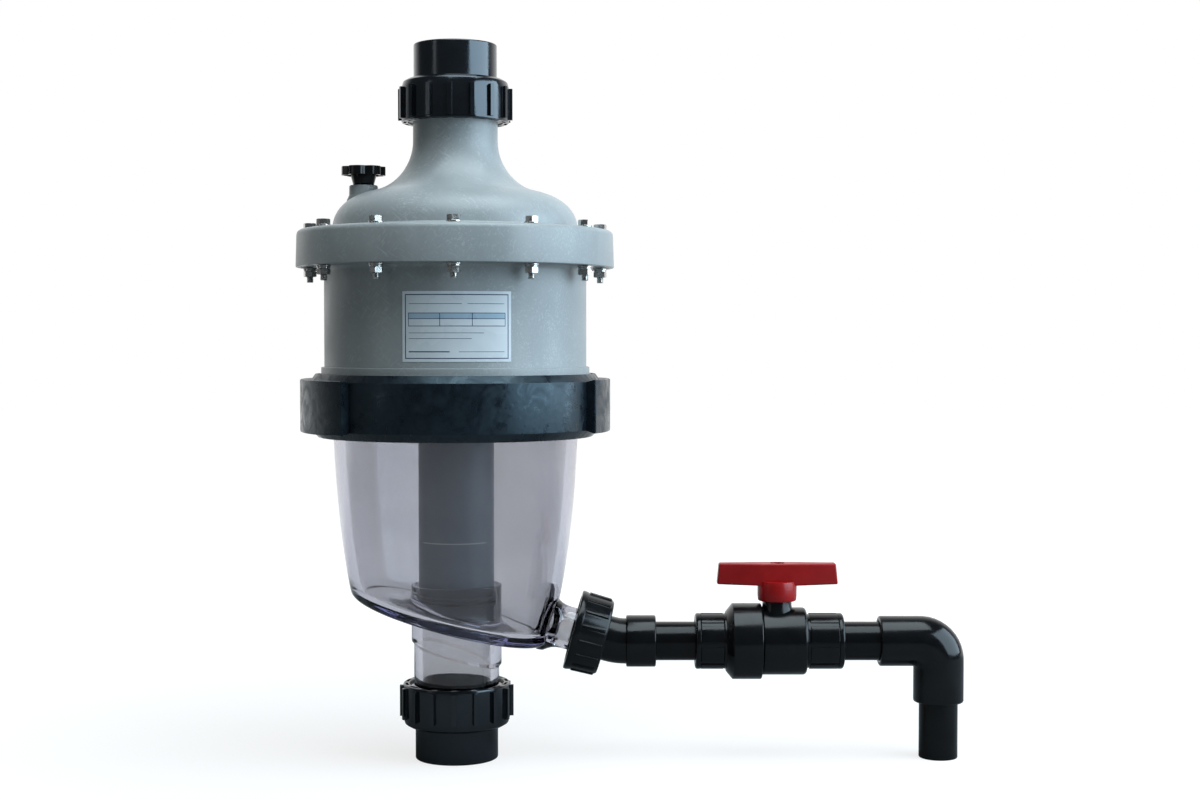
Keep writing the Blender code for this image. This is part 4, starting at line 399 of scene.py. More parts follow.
# %% [markdown]
# ## Tools for turned pieces
#
# Most pieces here are round. By hand you would draw half of the outline and turn it round an axis, so the
# helper does that: a plane is merged to one point, the point is extruded along the outline, and the line is
# spun. Outlines are lists of (radius, height) in millimetres, and a third number rounds that corner. The other
# helpers pick faces or edges in edit mode, join or cut shapes, and finish a piece for the frame.

# %% Outlines
def rounded(points, steps=4):
    """The outline with each corner that has a third number rounded by that radius."""
    outline = []
    for i, point in enumerate(points):
        here = Vector(point[:2])
        if len(point) < 3:
            outline.append(here)
            continue
        before = Vector(points[i - 1][:2]) - here
        after = Vector(points[(i + 1) % len(points)][:2]) - here
        half = before.angle(after) / 2
        reach = min(point[2] / tan(half), before.length * 0.49, after.length * 0.49)
        start = here + before.normalized() * reach
        end = here + after.normalized() * reach
        for k in range(steps + 1):
            t = k / steps
            weights = ((1 - t) ** 2, 2 * t * (1 - t) * sin(half), t * t)
            outline.append((start * weights[0] + here * weights[1] + end * weights[2]) / sum(weights))
    return outline


def curve(start, handle, end_handle, end, steps=12):
    """Points of a Bezier curve, both ends included."""
    points = []
    for k in range(steps + 1):
        t = k / steps
        parts = ((1 - t) ** 3, 3 * t * (1 - t) ** 2, 3 * t * t * (1 - t), t**3)
        corners = (start, handle, end_handle, end)
        points.append(tuple(sum(w * c[axis] for w, c in zip(parts, corners)) for axis in (0, 1)))
    return points


print("a rounded corner has", len(rounded([(0, 0), (10, 0, 2), (10, 10)])) - 2, "points")


# %% Edit mode helpers
def only(obj):
    if bpy.context.object and bpy.context.object.mode != "OBJECT":
        bpy.ops.object.mode_set(mode="OBJECT")
    bpy.ops.object.select_all(action="DESELECT")
    obj.select_set(True)
    bpy.context.view_layer.objects.active = obj


def pick(kind, test):
    """In edit mode, selects the vertices, edges or faces that pass the test, and counts them."""
    bpy.ops.mesh.select_mode(type=kind)
    bpy.ops.mesh.select_all(action="DESELECT")
    mesh = bpy.context.object.data
    shape = bmesh.from_edit_mesh(mesh)
    items = {"VERT": shape.verts, "EDGE": shape.edges, "FACE": shape.faces}[kind]
    chosen = 0
    for item in items:
        if test(item):
            item.select_set(True)
            chosen += 1
    shape.select_flush_mode()
    bmesh.update_edit_mesh(mesh)
    return chosen


def close_up(sharp=28):
    """Leaves edit mode with merged points, faces outwards and smooth shading up to an angle."""
    bpy.ops.mesh.select_mode(type="VERT")
    bpy.ops.mesh.select_all(action="SELECT")
    bpy.ops.mesh.remove_doubles(threshold=0.002 * MM)
    bpy.ops.mesh.normals_make_consistent(inside=False)
    if bmesh.from_edit_mesh(bpy.context.object.data).calc_volume(signed=True) < 0:
        bpy.ops.mesh.flip_normals()
    bpy.ops.object.mode_set(mode="OBJECT")
    bpy.ops.object.shade_smooth_by_angle(angle=radians(sharp))


def turned(name, points, sides=96, steps=4, sharp=28):
    """Draws the outline point by point and spins it about Z into a closed shell."""
    bpy.ops.object.select_all(action="DESELECT")
    bpy.ops.mesh.primitive_plane_add(size=MM, location=(0, 0, 0))
    obj = bpy.context.object
    obj.name = name
    bpy.ops.object.mode_set(mode="EDIT")
    bpy.ops.mesh.select_mode(type="VERT")
    bpy.ops.mesh.select_all(action="SELECT")
    bpy.ops.mesh.merge(type="CENTER")
    here = Vector((0, 0, 0))
    for i, (radius, height) in enumerate(rounded(points, steps)):
        there = Vector((radius, 0, height)) * MM
        if i:
            bpy.ops.mesh.extrude_vertices_move(TRANSFORM_OT_translate={"value": there - here})
        else:
            bpy.ops.transform.translate(value=there)
        here = there
    if points[0][0] > 0:
        ends = {0, len(bmesh.from_edit_mesh(obj.data).verts) - 1}
        pick("VERT", lambda v: v.index in ends)
        bpy.ops.mesh.edge_face_add()
    bpy.ops.mesh.select_all(action="SELECT")
    bpy.ops.mesh.spin(steps=sides, angle=tau, center=(0, 0, 0), axis=(0, 0, 1), use_auto_merge=True)
    close_up(sharp)
    return obj


print("helpers for turning are ready")


# %% Joining, placing and finishing
def apply(obj, modifier):
    only(obj)
    bpy.ops.object.modifier_apply(modifier=modifier.name)


def smooth(obj, angle):
    """Smooth shading up to an angle."""
    only(obj)
    bpy.ops.object.shade_smooth_by_angle(angle=radians(angle))


def joined(target, *others):
    """Puts separate parts in one mesh without cutting them."""
    only(target)
    for other in others:
        other.select_set(True)
    bpy.ops.object.join()
    return target


def combine(obj, other, operation="UNION"):
    """Joins or cuts with another shape, which is used up."""
    modifier = obj.modifiers.new("combine", "BOOLEAN")
    modifier.operation = operation
    modifier.solver = "EXACT"
    modifier.object = other
    apply(obj, modifier)
    bpy.data.objects.remove(other)


def bevelled(obj, width, segments=2, angle=35):
    """Rounds the edges that are sharper than an angle."""
    modifier = obj.modifiers.new("bevel", "BEVEL")
    modifier.width = width * MM
    modifier.segments = segments
    modifier.limit_method = "ANGLE"
    modifier.angle_limit = radians(angle)
    modifier.use_clamp_overlap = True
    apply(obj, modifier)
    smooth(obj, angle)


def placed(obj, matrix):
    """Moves a piece and applies the place to its mesh, so that its object stays at the origin."""
    obj.matrix_world = matrix
    only(obj)
    bpy.ops.object.transform_apply(location=True, rotation=True, scale=True)
    return obj


def copied(obj, name):
    made = obj.copy()
    made.data = obj.data.copy()
    made.name = name
    bpy.context.scene.collection.objects.link(made)
    return made


def finished(obj, material, body, slot, *nodes):
    """Gives the piece its finish and its moving body, and hides the CAD nodes that it stands for."""
    obj.data.materials.clear()
    obj.data.materials.append(material)
    ready(obj, body, slot, *nodes)


def ready(obj, body, slot, *nodes):
    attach(obj, body)
    if nodes:
        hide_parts(*nodes)
    triangles = sum(len(face.vertices) - 2 for face in obj.data.polygons)
    print(f"{obj.name}: {triangles} triangles, rides on {body}")


UPRIGHT = Matrix.Translation((AXIS_X, 0, 0))


def raised(height):
    return UPRIGHT @ Matrix.Translation((0, 0, height * MM))


print("upright pieces stand at x =", round(AXIS_X / MM, 1), "mm")

# %% [markdown]
# ## Lid
#
# The lid is one moulding: a threaded neck, a flare that opens like a trumpet bell, a dome, and a flange with a
# skirt that hangs over the housing. Two Bezier curves give the flare and the dome, because circles would leave
# a visible kink between them. Turning is the natural way to make it, and only the boss of the bleed screw is
# added afterwards.

# %% Lid
flare = curve((36.8, 540), (36.8, 521), (50, 500.5), (72, 496), 16)
dome = curve((72, 496), (92, 491.5), (103, 482), (106, 469), 14)
lid = turned(
    "filter_lid",
    [(30, 581), (41, 581, 1.2), (41, 557, 0.6), (36.8, 556.4, 0.5)]
    + flare
    + dome[1:]
    + [(106.9, 464.6), (108.6, 462.6), (111.5, 462.0)]
    + [(137.2, 462, 4.6), (138.2, 429.8, 0.8), (133.7, 429.8, 0.5), (133.7, 447.7), (99.5, 447.7, 2)]
    + curve((99.2, 469), (96, 478), (85, 484.7), (72, 489.2), 8)
    + curve((72, 489.2), (50, 493.7), (30, 514.2), (30, 536), 8)[1:],
    sides=160,
)
bleed_angle = radians(175)
boss_place = Vector((81.4 * cos(bleed_angle), 81.4 * sin(bleed_angle), 0)) * MM
boss = turned(
    "boss", [(0, 480), (17, 480), (14.6, 489.6), (12.7, 493.6, 3), (12.4, 502.3, 1.2), (0, 502.3)], sides=64
)
placed(boss, Matrix.Translation(boss_place))
combine(lid, boss)
drill = turned(
    "drill",
    [(0, 505), (10.8, 505), (10.8, 499.6), (7.2, 499.6), (7.2, 474), (0, 474)],
    sides=48,
)
placed(drill, Matrix.Translation(boss_place))
combine(lid, drill, "DIFFERENCE")
print("lid before its bolt holes:", len(lid.data.polygons), "faces")

# %% [markdown]
# ### Bolt holes
#
# Twelve bolts go through lid and housing. One drill is made and copied round the circle, and the joined copies
# cut both pieces, so the holes cannot drift apart. The bolt circle is turned a little: the photograph shows the
# front bolt just right of the middle.

# %% Drill the flange
BOLTS = 12
BOLT_CIRCLE = 126.3 * MM
BOLT_START = radians(-86.3)
HOLE_RADIUS = 3.4 * MM
PIN_LENGTH = 0.06
PIN_PLACE = (0, 0, 0.446)


def bolt_place(i):
    turn = BOLT_START + tau * i / BOLTS
    return Matrix.Rotation(turn, 4, "Z") @ Matrix.Translation((BOLT_CIRCLE, 0, 0))


def flange_drill():
    """A dozen cutting pins in one mesh."""
    bpy.ops.object.select_all(action="DESELECT")
    pins = []
    for i in range(BOLTS):
        bpy.ops.mesh.primitive_cylinder_add(
            vertices=24, radius=HOLE_RADIUS, depth=PIN_LENGTH, location=PIN_PLACE
        )
        pins.append(placed(bpy.context.object, bolt_place(i) @ Matrix.Translation(PIN_PLACE)))
    return joined(pins[-1], *pins[:-1])


combine(lid, flange_drill(), "DIFFERENCE")
smooth(placed(lid, UPRIGHT), 28)
finished(lid, grey_filled, "casing", "grey_filled_plastic", "lid")

# %% [markdown]
# ## Housing
#
# The housing is a plain cylinder between the bolt flange and the thread of the lock ring. A small ledge sits
# just above the thread. The beginning of the thread shows above the ring on the left, as a thin wedge that
# rises out of it, so it is made as a separate ridge that follows a helix and is then joined.

# %% Housing
housing = turned(
    "filter_housing",
    [(107, 447.4), (115, 447.4), (115, 443.6), (119, 443.6), (119, 447.4), (133.2, 447.4, 0.6)]
    + [(133.2, 430.2, 0.8), (114, 430.2, 4.5), (114, 343.6, 0.6), (116.7, 343.6, 0.5), (116.7, 338)]
    + [(117.6, 338), (117.6, 300.3, 0.5), (100, 300.3), (100, 308.7), (107, 308.7)],
    sides=160,
)
combine(housing, flange_drill(), "DIFFERENCE")


def ridge(start, stop, low, rise, taper):
    """A thread ridge: a section that is swept along a helix between two angles, thinned out at its start."""
    rings = []
    steps = 80
    for k in range(steps + 1):
        t = k / steps
        turn = radians(start + (stop - start) * t)
        full = min(1.0, t / taper)
        crest = 117.2 + 3.5 * full
        z = low + rise * t
        section = [(115.5, z - 2.6), (117.2, z - 2.6), (crest, z - 1.3 * full), (crest, z + 0.7 * full - 0.4)]
        section += [(117.2, z + 1.1), (115.5, z + 1.1)]
        rings.append([Vector((r * cos(turn), r * sin(turn), h)) * MM for r, h in section])
    return rings


def skinned(name, rings, around=False, sharp=30):
    """A shell over rings of points, capped at both ends or closed round from the last ring to the first."""
    count = len(rings[0])
    points = [tuple(point) for ring in rings for point in ring]
    faces = []
    for i in range(len(rings) if around else len(rings) - 1):
        low = i * count
        high = (i + 1) % len(rings) * count
        for k in range(count):
            after = (k + 1) % count
            faces.append((low + k, low + after, high + after, high + k))
    if not around:
        faces.append(tuple(range(count)))
        faces.append(tuple(range(len(points) - count, len(points))))
    mesh = bpy.data.meshes.new(name)
    mesh.from_pydata(points, [], faces)
    obj = bpy.data.objects.new(name, mesh)
    bpy.context.scene.collection.objects.link(obj)
    only(obj)
    bpy.ops.object.mode_set(mode="EDIT")
    close_up(sharp)
    return obj


combine(housing, skinned("thread_start", ridge(-172, 60, 334.6, 5.4, 0.12)))
smooth(placed(housing, UPRIGHT), 28)
finished(housing, grey_filled, "casing", "grey_filled_plastic", "housing")

# %% [markdown]
# ## Flange bolts
#
# Each bolt is a hexagon head on a washer, and below the flange a thick washer, a nut and the tip of the thread.
# A hexagon head is a six-sided cylinder whose corners are turned off at 30 degrees, so it is cut with a turned
# cone. The thread is a row of turned grooves, which nobody can tell from a helix at this size.

# %% One bolt
def hexagon(name, low, high, width, chamfered):
    """A hexagon prism with the corners of its ends turned off."""
    bpy.ops.object.select_all(action="DESELECT")
    bpy.ops.mesh.primitive_cylinder_add(
        vertices=6, radius=width / sqrt(3) * MM, depth=(high - low) * MM, location=(0, 0, (low + high) / 2 * MM)
    )
    obj = bpy.context.object
    obj.name = name
    half = width / 2
    corner = width / sqrt(3) + 0.4
    drop = (corner - half) * 0.62
    top = [(half, high), (corner, high - drop)] if "top" in chamfered else [(corner, high)]
    foot = [(corner, low + drop), (half, low)] if "foot" in chamfered else [(corner, low)]
    only(obj)
    bpy.ops.object.transform_apply(location=True, rotation=True, scale=True)
    lathe = turned("lathe", [(0, high)] + top + foot + [(0, low)], sides=48)
    combine(obj, lathe, "INTERSECT")
    return obj


def thread_outline(radius, top, tip, pitch):
    """The outside of a threaded rod from its top down to its tip."""
    points = [(0, top), (radius, top)]
    z = top - pitch
    while z > tip + pitch:
        points += [(radius, z), (radius - 0.5 * pitch, z - 0.5 * pitch)]
        z -= pitch
    points += [(radius, tip + 0.7 * pitch), (radius - 0.6, tip), (0, tip)]
    return points


bolt = hexagon("bolt", 463.7, 468.2, 10, ("top",))
washer = turned("washer", [(3.1, 462.2), (3.1, 463.6), (6.2, 463.6, 0.25), (6.2, 462.2, 0.25)], sides=48)
shank = turned("shank", [(0, 463.9), (2.95, 463.9), (2.95, 432), (0, 432)], sides=24)
rod = turned("rod", thread_outline(3.0, 432.2, 416.8, 1.0), sides=24)
joined(bolt, washer, shank, rod)
print("bolt:", len(bolt.data.polygons), "faces")

# %% One nut with its washers
nut = hexagon("nut", 421.7, 426.7, 10, ("top", "foot"))
hole = turned("hole", [(0, 440), (3.1, 440), (3.1, 410), (0, 410)], sides=32)
combine(nut, hole, "DIFFERENCE")
washers = [
    turned("washer", [(3.1, low), (3.1, low + 1.4), (radius, low + 1.4, 0.25), (radius, low, 0.25)], sides=48)
    for low, radius in ((426.85, 5.6), (428.35, 6.3))
]
joined(nut, *washers)
print("nut:", len(nut.data.polygons), "faces")

# %% A dozen of each, each with its own turn
for i in range(BOLTS):
    spin = Matrix.Rotation(radians(17 + 47 * i), 4, "Z")
    for pattern, kind in ((bolt, "bolt"), (nut, "nut")):
        piece = placed(copied(pattern, f"hex_{kind}_{i + 1:02d}"), UPRIGHT @ bolt_place(i) @ spin)
        smooth(piece, 28)
        finished(piece, steel, "casing", "stainless_steel", f"flange_{kind}_{i + 1:02d}")
for pattern in (bolt, nut):
    bpy.data.objects.remove(pattern)

# %% [markdown]
# ## Lock ring
#
# The ring screws the sump to the housing. Two wide lugs give a grip, one to each side of the front gap. The
# ring is turned first. Then the outer faces of each lug are picked by their angle and pushed out, and their
# upper, lower and end edges are bevelled broadly, because a mould has to leave them and hands have to hold
# them.

# %% Lock ring
RING_COLUMNS = 120
RING_PHASE = radians(-90 - 39.9)
LUG_HEIGHT = 8.7 * MM
LUG_BEVEL = 5.6 * MM
lock_ring = turned(
    "sump_lock_ring",
    [(108.5, 283.2, 0.5), (119.4, 283.2, 1.2), (126.2, 290.0, 1.0), (126.2, 331.6, 1.0), (121.9, 337.8, 1.0)]
    + [(121.5, 337.8, 0.3), (121.5, 291.2), (108.5, 291.2, 0.4)],
    sides=RING_COLUMNS,
    sharp=32,
)
placed(lock_ring, Matrix.Rotation(RING_PHASE, 4, "Z"))
only(lock_ring)
bpy.ops.object.mode_set(mode="EDIT")


def lug_column(place):
    """Which of the columns of faces a place is in, counted from the left corner of the front gap."""
    turn = (atan2(place.y, place.x) - RING_PHASE) % tau
    return int(turn / tau * RING_COLUMNS)


LUG_COLUMNS = set(range(35, 60)) | set(range(95, 120))


def lug_face(face):
    place = face.calc_center_median()
    outwards = Vector((place.x, place.y, 0)).normalized().dot(face.normal)
    wall = hypot(place.x, place.y) > 125.5 * MM and outwards > 0.95
    return wall and lug_column(place) in LUG_COLUMNS


print("lug faces:", pick("FACE", lug_face))
bpy.ops.mesh.extrude_region_shrink_fatten(TRANSFORM_OT_shrink_fatten={"value": LUG_HEIGHT})


def lug_rim(edge):
    """The edges round the outer face of a lug, where it meets the lug's four sides."""
    if len(edge.link_faces) != 2:
        return False
    out = all(hypot(v.co.x, v.co.y) > 133.5 * MM for v in edge.verts)
    return out and edge.link_faces[0].normal.angle(edge.link_faces[1].normal) > radians(40)


print("lug edges:", pick("EDGE", lug_rim))
bpy.ops.mesh.bevel(offset=LUG_BEVEL, segments=1, affect="EDGES", clamp_overlap=True)
close_up(32)
bevelled(lock_ring, 0.9, 2, 28)
placed(lock_ring, UPRIGHT)
finished(lock_ring, black_ring, "sump_ring", "black_plastic", "lock_ring")

# %% [markdown]
# ## Unions
#
# Inlet, outlet and drain have the same kind of union: a ribbed nut that holds the collar of a tail against a
# seal. The nut is turned, and on its wall one column of faces in every five or six is pushed out for a rib. The
# open end of the large nuts is cored out between the ribs, as a moulder does to keep the wall even, so those
# pockets are inset and pushed in. One function makes all three nuts from their sizes.

# %% Ribbed nut
def ribbed_nut(name, outline, wall, rib, pocket=None, ribs=16, columns=6, crest=0.55):
    """The wall is a radius, a rib is (height, low, high) and a pocket (inner, outer, level, depth)."""
    sides = ribs * columns
    nut = turned(name, outline, sides=sides, sharp=30)
    only(nut)
    bpy.ops.object.mode_set(mode="EDIT")

    def column(place):
        return int((atan2(place.y, place.x) % tau) / tau * sides) % columns

    def on_rib(face):
        place = face.calc_center_median()
        level = rib[1] * MM < place.z < rib[2] * MM
        return level and hypot(place.x, place.y) > wall * MM and column(place) == 0

    def in_pocket(face):
        place = face.calc_center_median()
        level = abs(place.z - pocket[2] * MM) < 0.3 * MM and face.normal.z < -0.9
        reach = pocket[0] * MM < hypot(place.x, place.y) < pocket[1] * MM
        return level and reach and column(place) > 0

    if pocket:
        print("pocket faces:", pick("FACE", in_pocket))
        bpy.ops.mesh.inset(thickness=1.0 * MM, depth=0, use_boundary=True)
        bpy.ops.mesh.extrude_region_move(TRANSFORM_OT_translate={"value": (0, 0, pocket[3] * MM)})
    print("rib faces:", pick("FACE", on_rib))
    bpy.ops.mesh.extrude_region_shrink_fatten(TRANSFORM_OT_shrink_fatten={"value": rib[0] * MM})
    close_up(30)
    bevelled(nut, crest, 3, 32)
    return nut


NUT_OUTLINE = [
    (41.3, 0.6, 0.5), (46.6, 0.6, 0.8), (46.9, 3.0), (46.9, 30.2), (45.4, 35.6, 2), (41.2, 38.0, 2),
    (36.7, 38.0, 0.6), (36.7, 34.6), (41.3, 34.6),
]  # fmt: skip
NUT_RIB = (3.0, 3.0, 30.2)
NUT_POCKET = (41.3, 46.8, 0.6, 9.0)


def union_nut(name, matrix, body, node_name):
    nut = ribbed_nut(name, NUT_OUTLINE, 46.2, NUT_RIB, NUT_POCKET, columns=5, crest=1.3)
    placed(nut, matrix)
    finished(nut, black_gloss, body, "black_plastic", node_name)


UP_RIBS = Matrix.Rotation(radians(-93.5), 4, "Z")
DOWN = Matrix.Rotation(pi, 4, "X")
DOWN_RIBS = DOWN @ Matrix.Rotation(radians(86.5), 4, "Z")
union_nut("outlet_nut_ribbed", raised(555.1) @ UP_RIBS, "outlet_nut", "outlet_union_nut")
union_nut("inlet_nut_ribbed", raised(67.0) @ DOWN_RIBS, "inlet_nut", "inlet_union_nut")

# %% [markdown]
# ## Inlet and outlet tails
#
# Behind each nut sits a tail: a collar that the nut pulls against the seal, and a socket for a glued pipe. It
# is a plain turning, and the outlet and the inlet differ only in length and in which way they point.

# %% Union tails
def union_tail(name, length, matrix, node_name):
    """A tail that stands on its collar at height 0 and opens at the top."""
    stop = length - 30
    tail = turned(
        name,
        [(26.6, 3.1, 0.4), (33.1, 3.1), (33.1, 0.2), (40.8, 0.2, 0.5), (40.8, 7.8, 1.2), (37.4, 7.8, 1.4)]
        + [(36.2, 14), (36.2, length, 1.3), (30.3, length, 1.6), (30.0, stop, 0.4), (26.6, stop - 1.2, 0.8)],
        sides=96,
    )
    placed(tail, matrix)
    finished(tail, black_gloss, "casing", "black_plastic", node_name)


union_tail("outlet_tail_socket", 42.3, raised(581.3), "outlet_union_tail")
union_tail("inlet_tail_socket", 40.8, raised(40.8) @ DOWN, "inlet_union_tail")

# %% [markdown]
# ## Inlet tube
#
# The grey tube carries the dirty water up through the clean sump. It plugs into the sump's socket, with a seal
# between two ribs. A pale moulded line across its front shows how high the dirt may rise, so the line is a thin
# strip of the tube's own curve that stands a fifth of a millimetre proud.

# %% Inlet tube and its seal
tube = turned(
    "grey_inlet_tube",
    [(29.5, 119.8, 0.6), (33, 119.8, 0.8), (33, 136.0), (35.4, 136.3, 0.5), (35.4, 138.8, 0.4), (33.4, 138.9)]
    + [(33.4, 142.1), (35.4, 142.2, 0.4), (35.4, 144.7, 0.5), (33, 145.0)]
    + [(33, 336.2, 0.8), (29.5, 336.2, 0.6)],
    sides=96,
)
placed(tube, UPRIGHT)
finished(tube, grey_tube, "casing", "grey_tube_plastic", "inlet_tube")
ring = [(34.95 + 1.45 * cos(tau * i / 12), 140.5 + 1.6 * sin(tau * i / 12)) for i in range(12)]
tube_ring = turned("tube_seal_ring", ring, sides=96)
placed(tube_ring, UPRIGHT)
finished(tube_ring, rubber, "casing", "seal_rubber", "tube_seal")


def wrapped(obj, radius):
    """Bends a flat piece, drawn across X and up Z, round the vessel's front at the given radius."""
    for vertex in obj.data.vertices:
        turn = -pi / 2 + vertex.co.x / radius
        reach = radius + vertex.co.y
        vertex.co = Vector((reach * cos(turn), reach * sin(turn), vertex.co.z))


MARK_SIZE = (62 * MM, 0.35 * MM, 0.9 * MM)
MARK_Z = 192.1 * MM
MARK_RADIUS = 33.05 * MM
bpy.ops.object.select_all(action="DESELECT")
bpy.ops.mesh.primitive_cube_add(size=1, location=(0, 0, 0))
mark = bpy.context.object
mark.name = "level_mark_line"
bpy.ops.object.mode_set(mode="EDIT")
bpy.ops.transform.resize(value=MARK_SIZE)
pick("EDGE", lambda e: abs(e.verts[0].co.x - e.verts[1].co.x) > 1 * MM)
bpy.ops.mesh.subdivide(number_cuts=40)
bpy.ops.mesh.select_all(action="SELECT")
bpy.ops.transform.translate(value=(0, 0, MARK_Z))
bpy.ops.object.mode_set(mode="OBJECT")
wrapped(mark, MARK_RADIUS)
placed(mark, UPRIGHT)
finished(mark, mark_ink, "casing", "white_seat_plastic")

# %% [markdown]
# ## Sump
#
# The sump is the hardest shape: a tapered round bowl whose floor slants by 15 degrees, so the corner between
# wall and floor runs round it like a ski slope. Turning can't give that, so this piece is made another way. Its
# closed section is worked out at 144 angles, outside and inside in one line, and the sections are skinned. The
# wall is nearly 10 mm thick, which matters for a clear piece, because the light bends at both of its faces.

# %% Sump sections
FLOOR_TILT = radians(15)
FLOOR_Z = 119.5
FLOOR_WALL = 8
SUMP_TOP = 300
SUMP_WALL = 9.8
RIM_RADIUS = 107.5
SLEEVE_RADIUS = 39.4


def bowl_radius(z):
    depth = SUMP_TOP - z
    return RIM_RADIUS - 0.05 * depth - 13.5 * (depth / 183) ** 3


def bowl_floor(radius, turn, rise=0.0):
    return FLOOR_Z + rise - radius * cos(turn) * tan(FLOOR_TILT)


def bowl_corner(turn, rise, wall):
    """Where the wall line meets the floor line on one side."""
    z = FLOOR_Z + rise
    for _ in range(30):
        z = bowl_floor(bowl_radius(z) - wall, turn, rise)
    return bowl_radius(z) - wall, z


def bowl_section(turn):
    rise = FLOOR_WALL / cos(FLOOR_TILT)
    corner = bowl_corner(turn, 0, 0)
    inner = bowl_corner(turn, rise, SUMP_WALL)
    top = 285
    outside = [top + (corner[1] + 13 - top) * k / 14 for k in range(15)]
    inside = [inner[1] + 15 + (299 - inner[1] - 15) * k / 14 for k in range(15)]
    sleeve = bowl_floor(SLEEVE_RADIUS, turn)
    points = [(120.3, 300, 0.5), (120.3, 291.1, 0.8), (bowl_radius(291) + 0.3, 291.1, 2.0)]
    points += [(bowl_radius(z), z) for z in outside]
    points += [(corner[0], corner[1], 10.5), (SLEEVE_RADIUS, sleeve, 4.5)]
    points += [(SLEEVE_RADIUS, sleeve - 25.8, 1.2), (37.2, sleeve - 28.8, 1.5), (37.2, 65.1, 0.3)]
    points += [(40.9, 64.2, 0.5), (40.9, 41.3, 0.7), (30, 41.3, 0.8)]
    points += [(30, 119.5, 0.8), (36.6, 119.5, 0.4), (36.6, 153.7, 0.5), (39.5, 153.7, 0.7)]
    points += [(39.5, bowl_floor(39.5, turn, rise), 10), (inner[0], inner[1], 12)]
    points += [(bowl_radius(z) - SUMP_WALL, z) for z in inside]
    points += [(97.7, 300, 0.4), (110.9, 300), (110.9, 296.1), (114.8, 296.1), (114.8, 300)]
    outline = rounded(points, 5)
    return [Vector((r * cos(turn), r * sin(turn), z)) * MM for r, z in outline]


BOWL_SIDES = 144
sump = skinned("clear_sump", [bowl_section(tau * i / BOWL_SIDES) for i in range(BOWL_SIDES)], True, sharp=30)
print("sump faces:", len(sump.data.polygons))

# %% [markdown]
# ### Drain stub
#
# The drain leaves the bowl square to the slanted floor, at its lowest side. Its root swells into the wall with
# a generous fillet. It is turned on its own axis, tilted into place and joined, and a drill then opens it.

# %% Drain stub and bore
DRAIN_AXIS_Z = 140.516
IN_BOWL = Matrix.Translation((0, 0, DRAIN_AXIS_Z * MM)) @ Matrix.Rotation(pi / 2 + FLOOR_TILT, 4, "Y")
DRAIN = UPRIGHT @ IN_BOWL
threads = []
for k in range(4):
    low = 111.6 + 2.8 * k
    threads += [(23.2, low), (24.4, low + 0.8), (24.4, low + 1.5), (23.2, low + 2.2)]
stub = turned(
    "stub",
    [(0, 79), (25, 79), (24.6, 84.5), (22.2, 88.0), (20.2, 91.4), (19.0, 95.6), (18.7, 100), (18.7, 110.6, 0.5)]
    + threads
    + [(23.2, 123.1, 0.4), (0, 123.1)],
    sides=72,
)
placed(stub, IN_BOWL)
combine(sump, stub)
bore = turned("bore", [(0, 52), (12, 52), (12, 130), (0, 130)], sides=64)
placed(bore, IN_BOWL)
combine(sump, bore, "DIFFERENCE")
smooth(placed(sump, UPRIGHT), 30)
finished(sump, clear_plastic, "casing", "clear_plastic", "sump", "sump_socket")

# %% [markdown]
# ## Drain union
#
# The drain's nut is a smaller relative of the other two. Its ribs are narrow, start behind a bell-shaped open
# end and stop at a rounded shoulder, and it has no pockets, so the same function makes it with other sizes.

# %% Drain nut
DRAIN_OUTLINE = [
    (29.6, 0, 0.5), (34.9, 0, 0.9), (35.2, 2.2), (34.6, 5.4, 0.6), (34.2, 6.6), (33.5, 26.6), (31.9, 29.2, 1.4),
    (20.2, 29.2, 0.6), (20.2, 23), (24.8, 23), (24.8, 6), (29.3, 5.4),
]  # fmt: skip
drain_nut = ribbed_nut("drain_nut_ribbed", DRAIN_OUTLINE, 33.0, (1.2, 7, 26))
placed(drain_nut, DRAIN @ Matrix.Translation((0, 0, 105.9 * MM)) @ Matrix.Rotation(radians(4), 4, "Z"))
finished(drain_nut, black_line, "drain_nut", "black_plastic", "drain_union_nut")

# %% [markdown]
# ## Bent tail and elbow
#
# Two pieces follow a bend: the drain's tail turns by 15 degrees into the level pipe, and the elbow turns down
# by 90. Both are tubes with sockets, so they are swept: a closed outline of radius and run is carried along the
# centre line, ring by ring, out along the outside and back along the bore. The rings lie square to the path.

# %% Swept tubes
LINE_Z = 102.625
BEND_REACH = 146.4
BEND = Vector((BEND_REACH * cos(FLOOR_TILT), 0, LINE_Z))


def swept(name, outline, frame_at, sides=72, sharp=30):
    turns = [tau * k / sides for k in range(sides)]
    rings = []
    for radius, run in rounded(outline):
        place = frame_at(run)
        rings.append([place @ (Vector((radius * cos(t), radius * sin(t), 0)) * MM) for t in turns])
    return skinned(name, rings, True, sharp)


def path_frame(place, turn):
    """A frame at a place in the XZ plane of the vessel, whose Z axis looks along the path."""
    return UPRIGHT @ Matrix.Translation(place * MM) @ Matrix.Rotation(turn, 4, "Y")


BEND_CUT = 6.5
BEND_RADIUS = BEND_CUT / tan(FLOOR_TILT / 2)
BEND_LENGTH = BEND_RADIUS * FLOOR_TILT
BEND_START = BEND_REACH - BEND_CUT


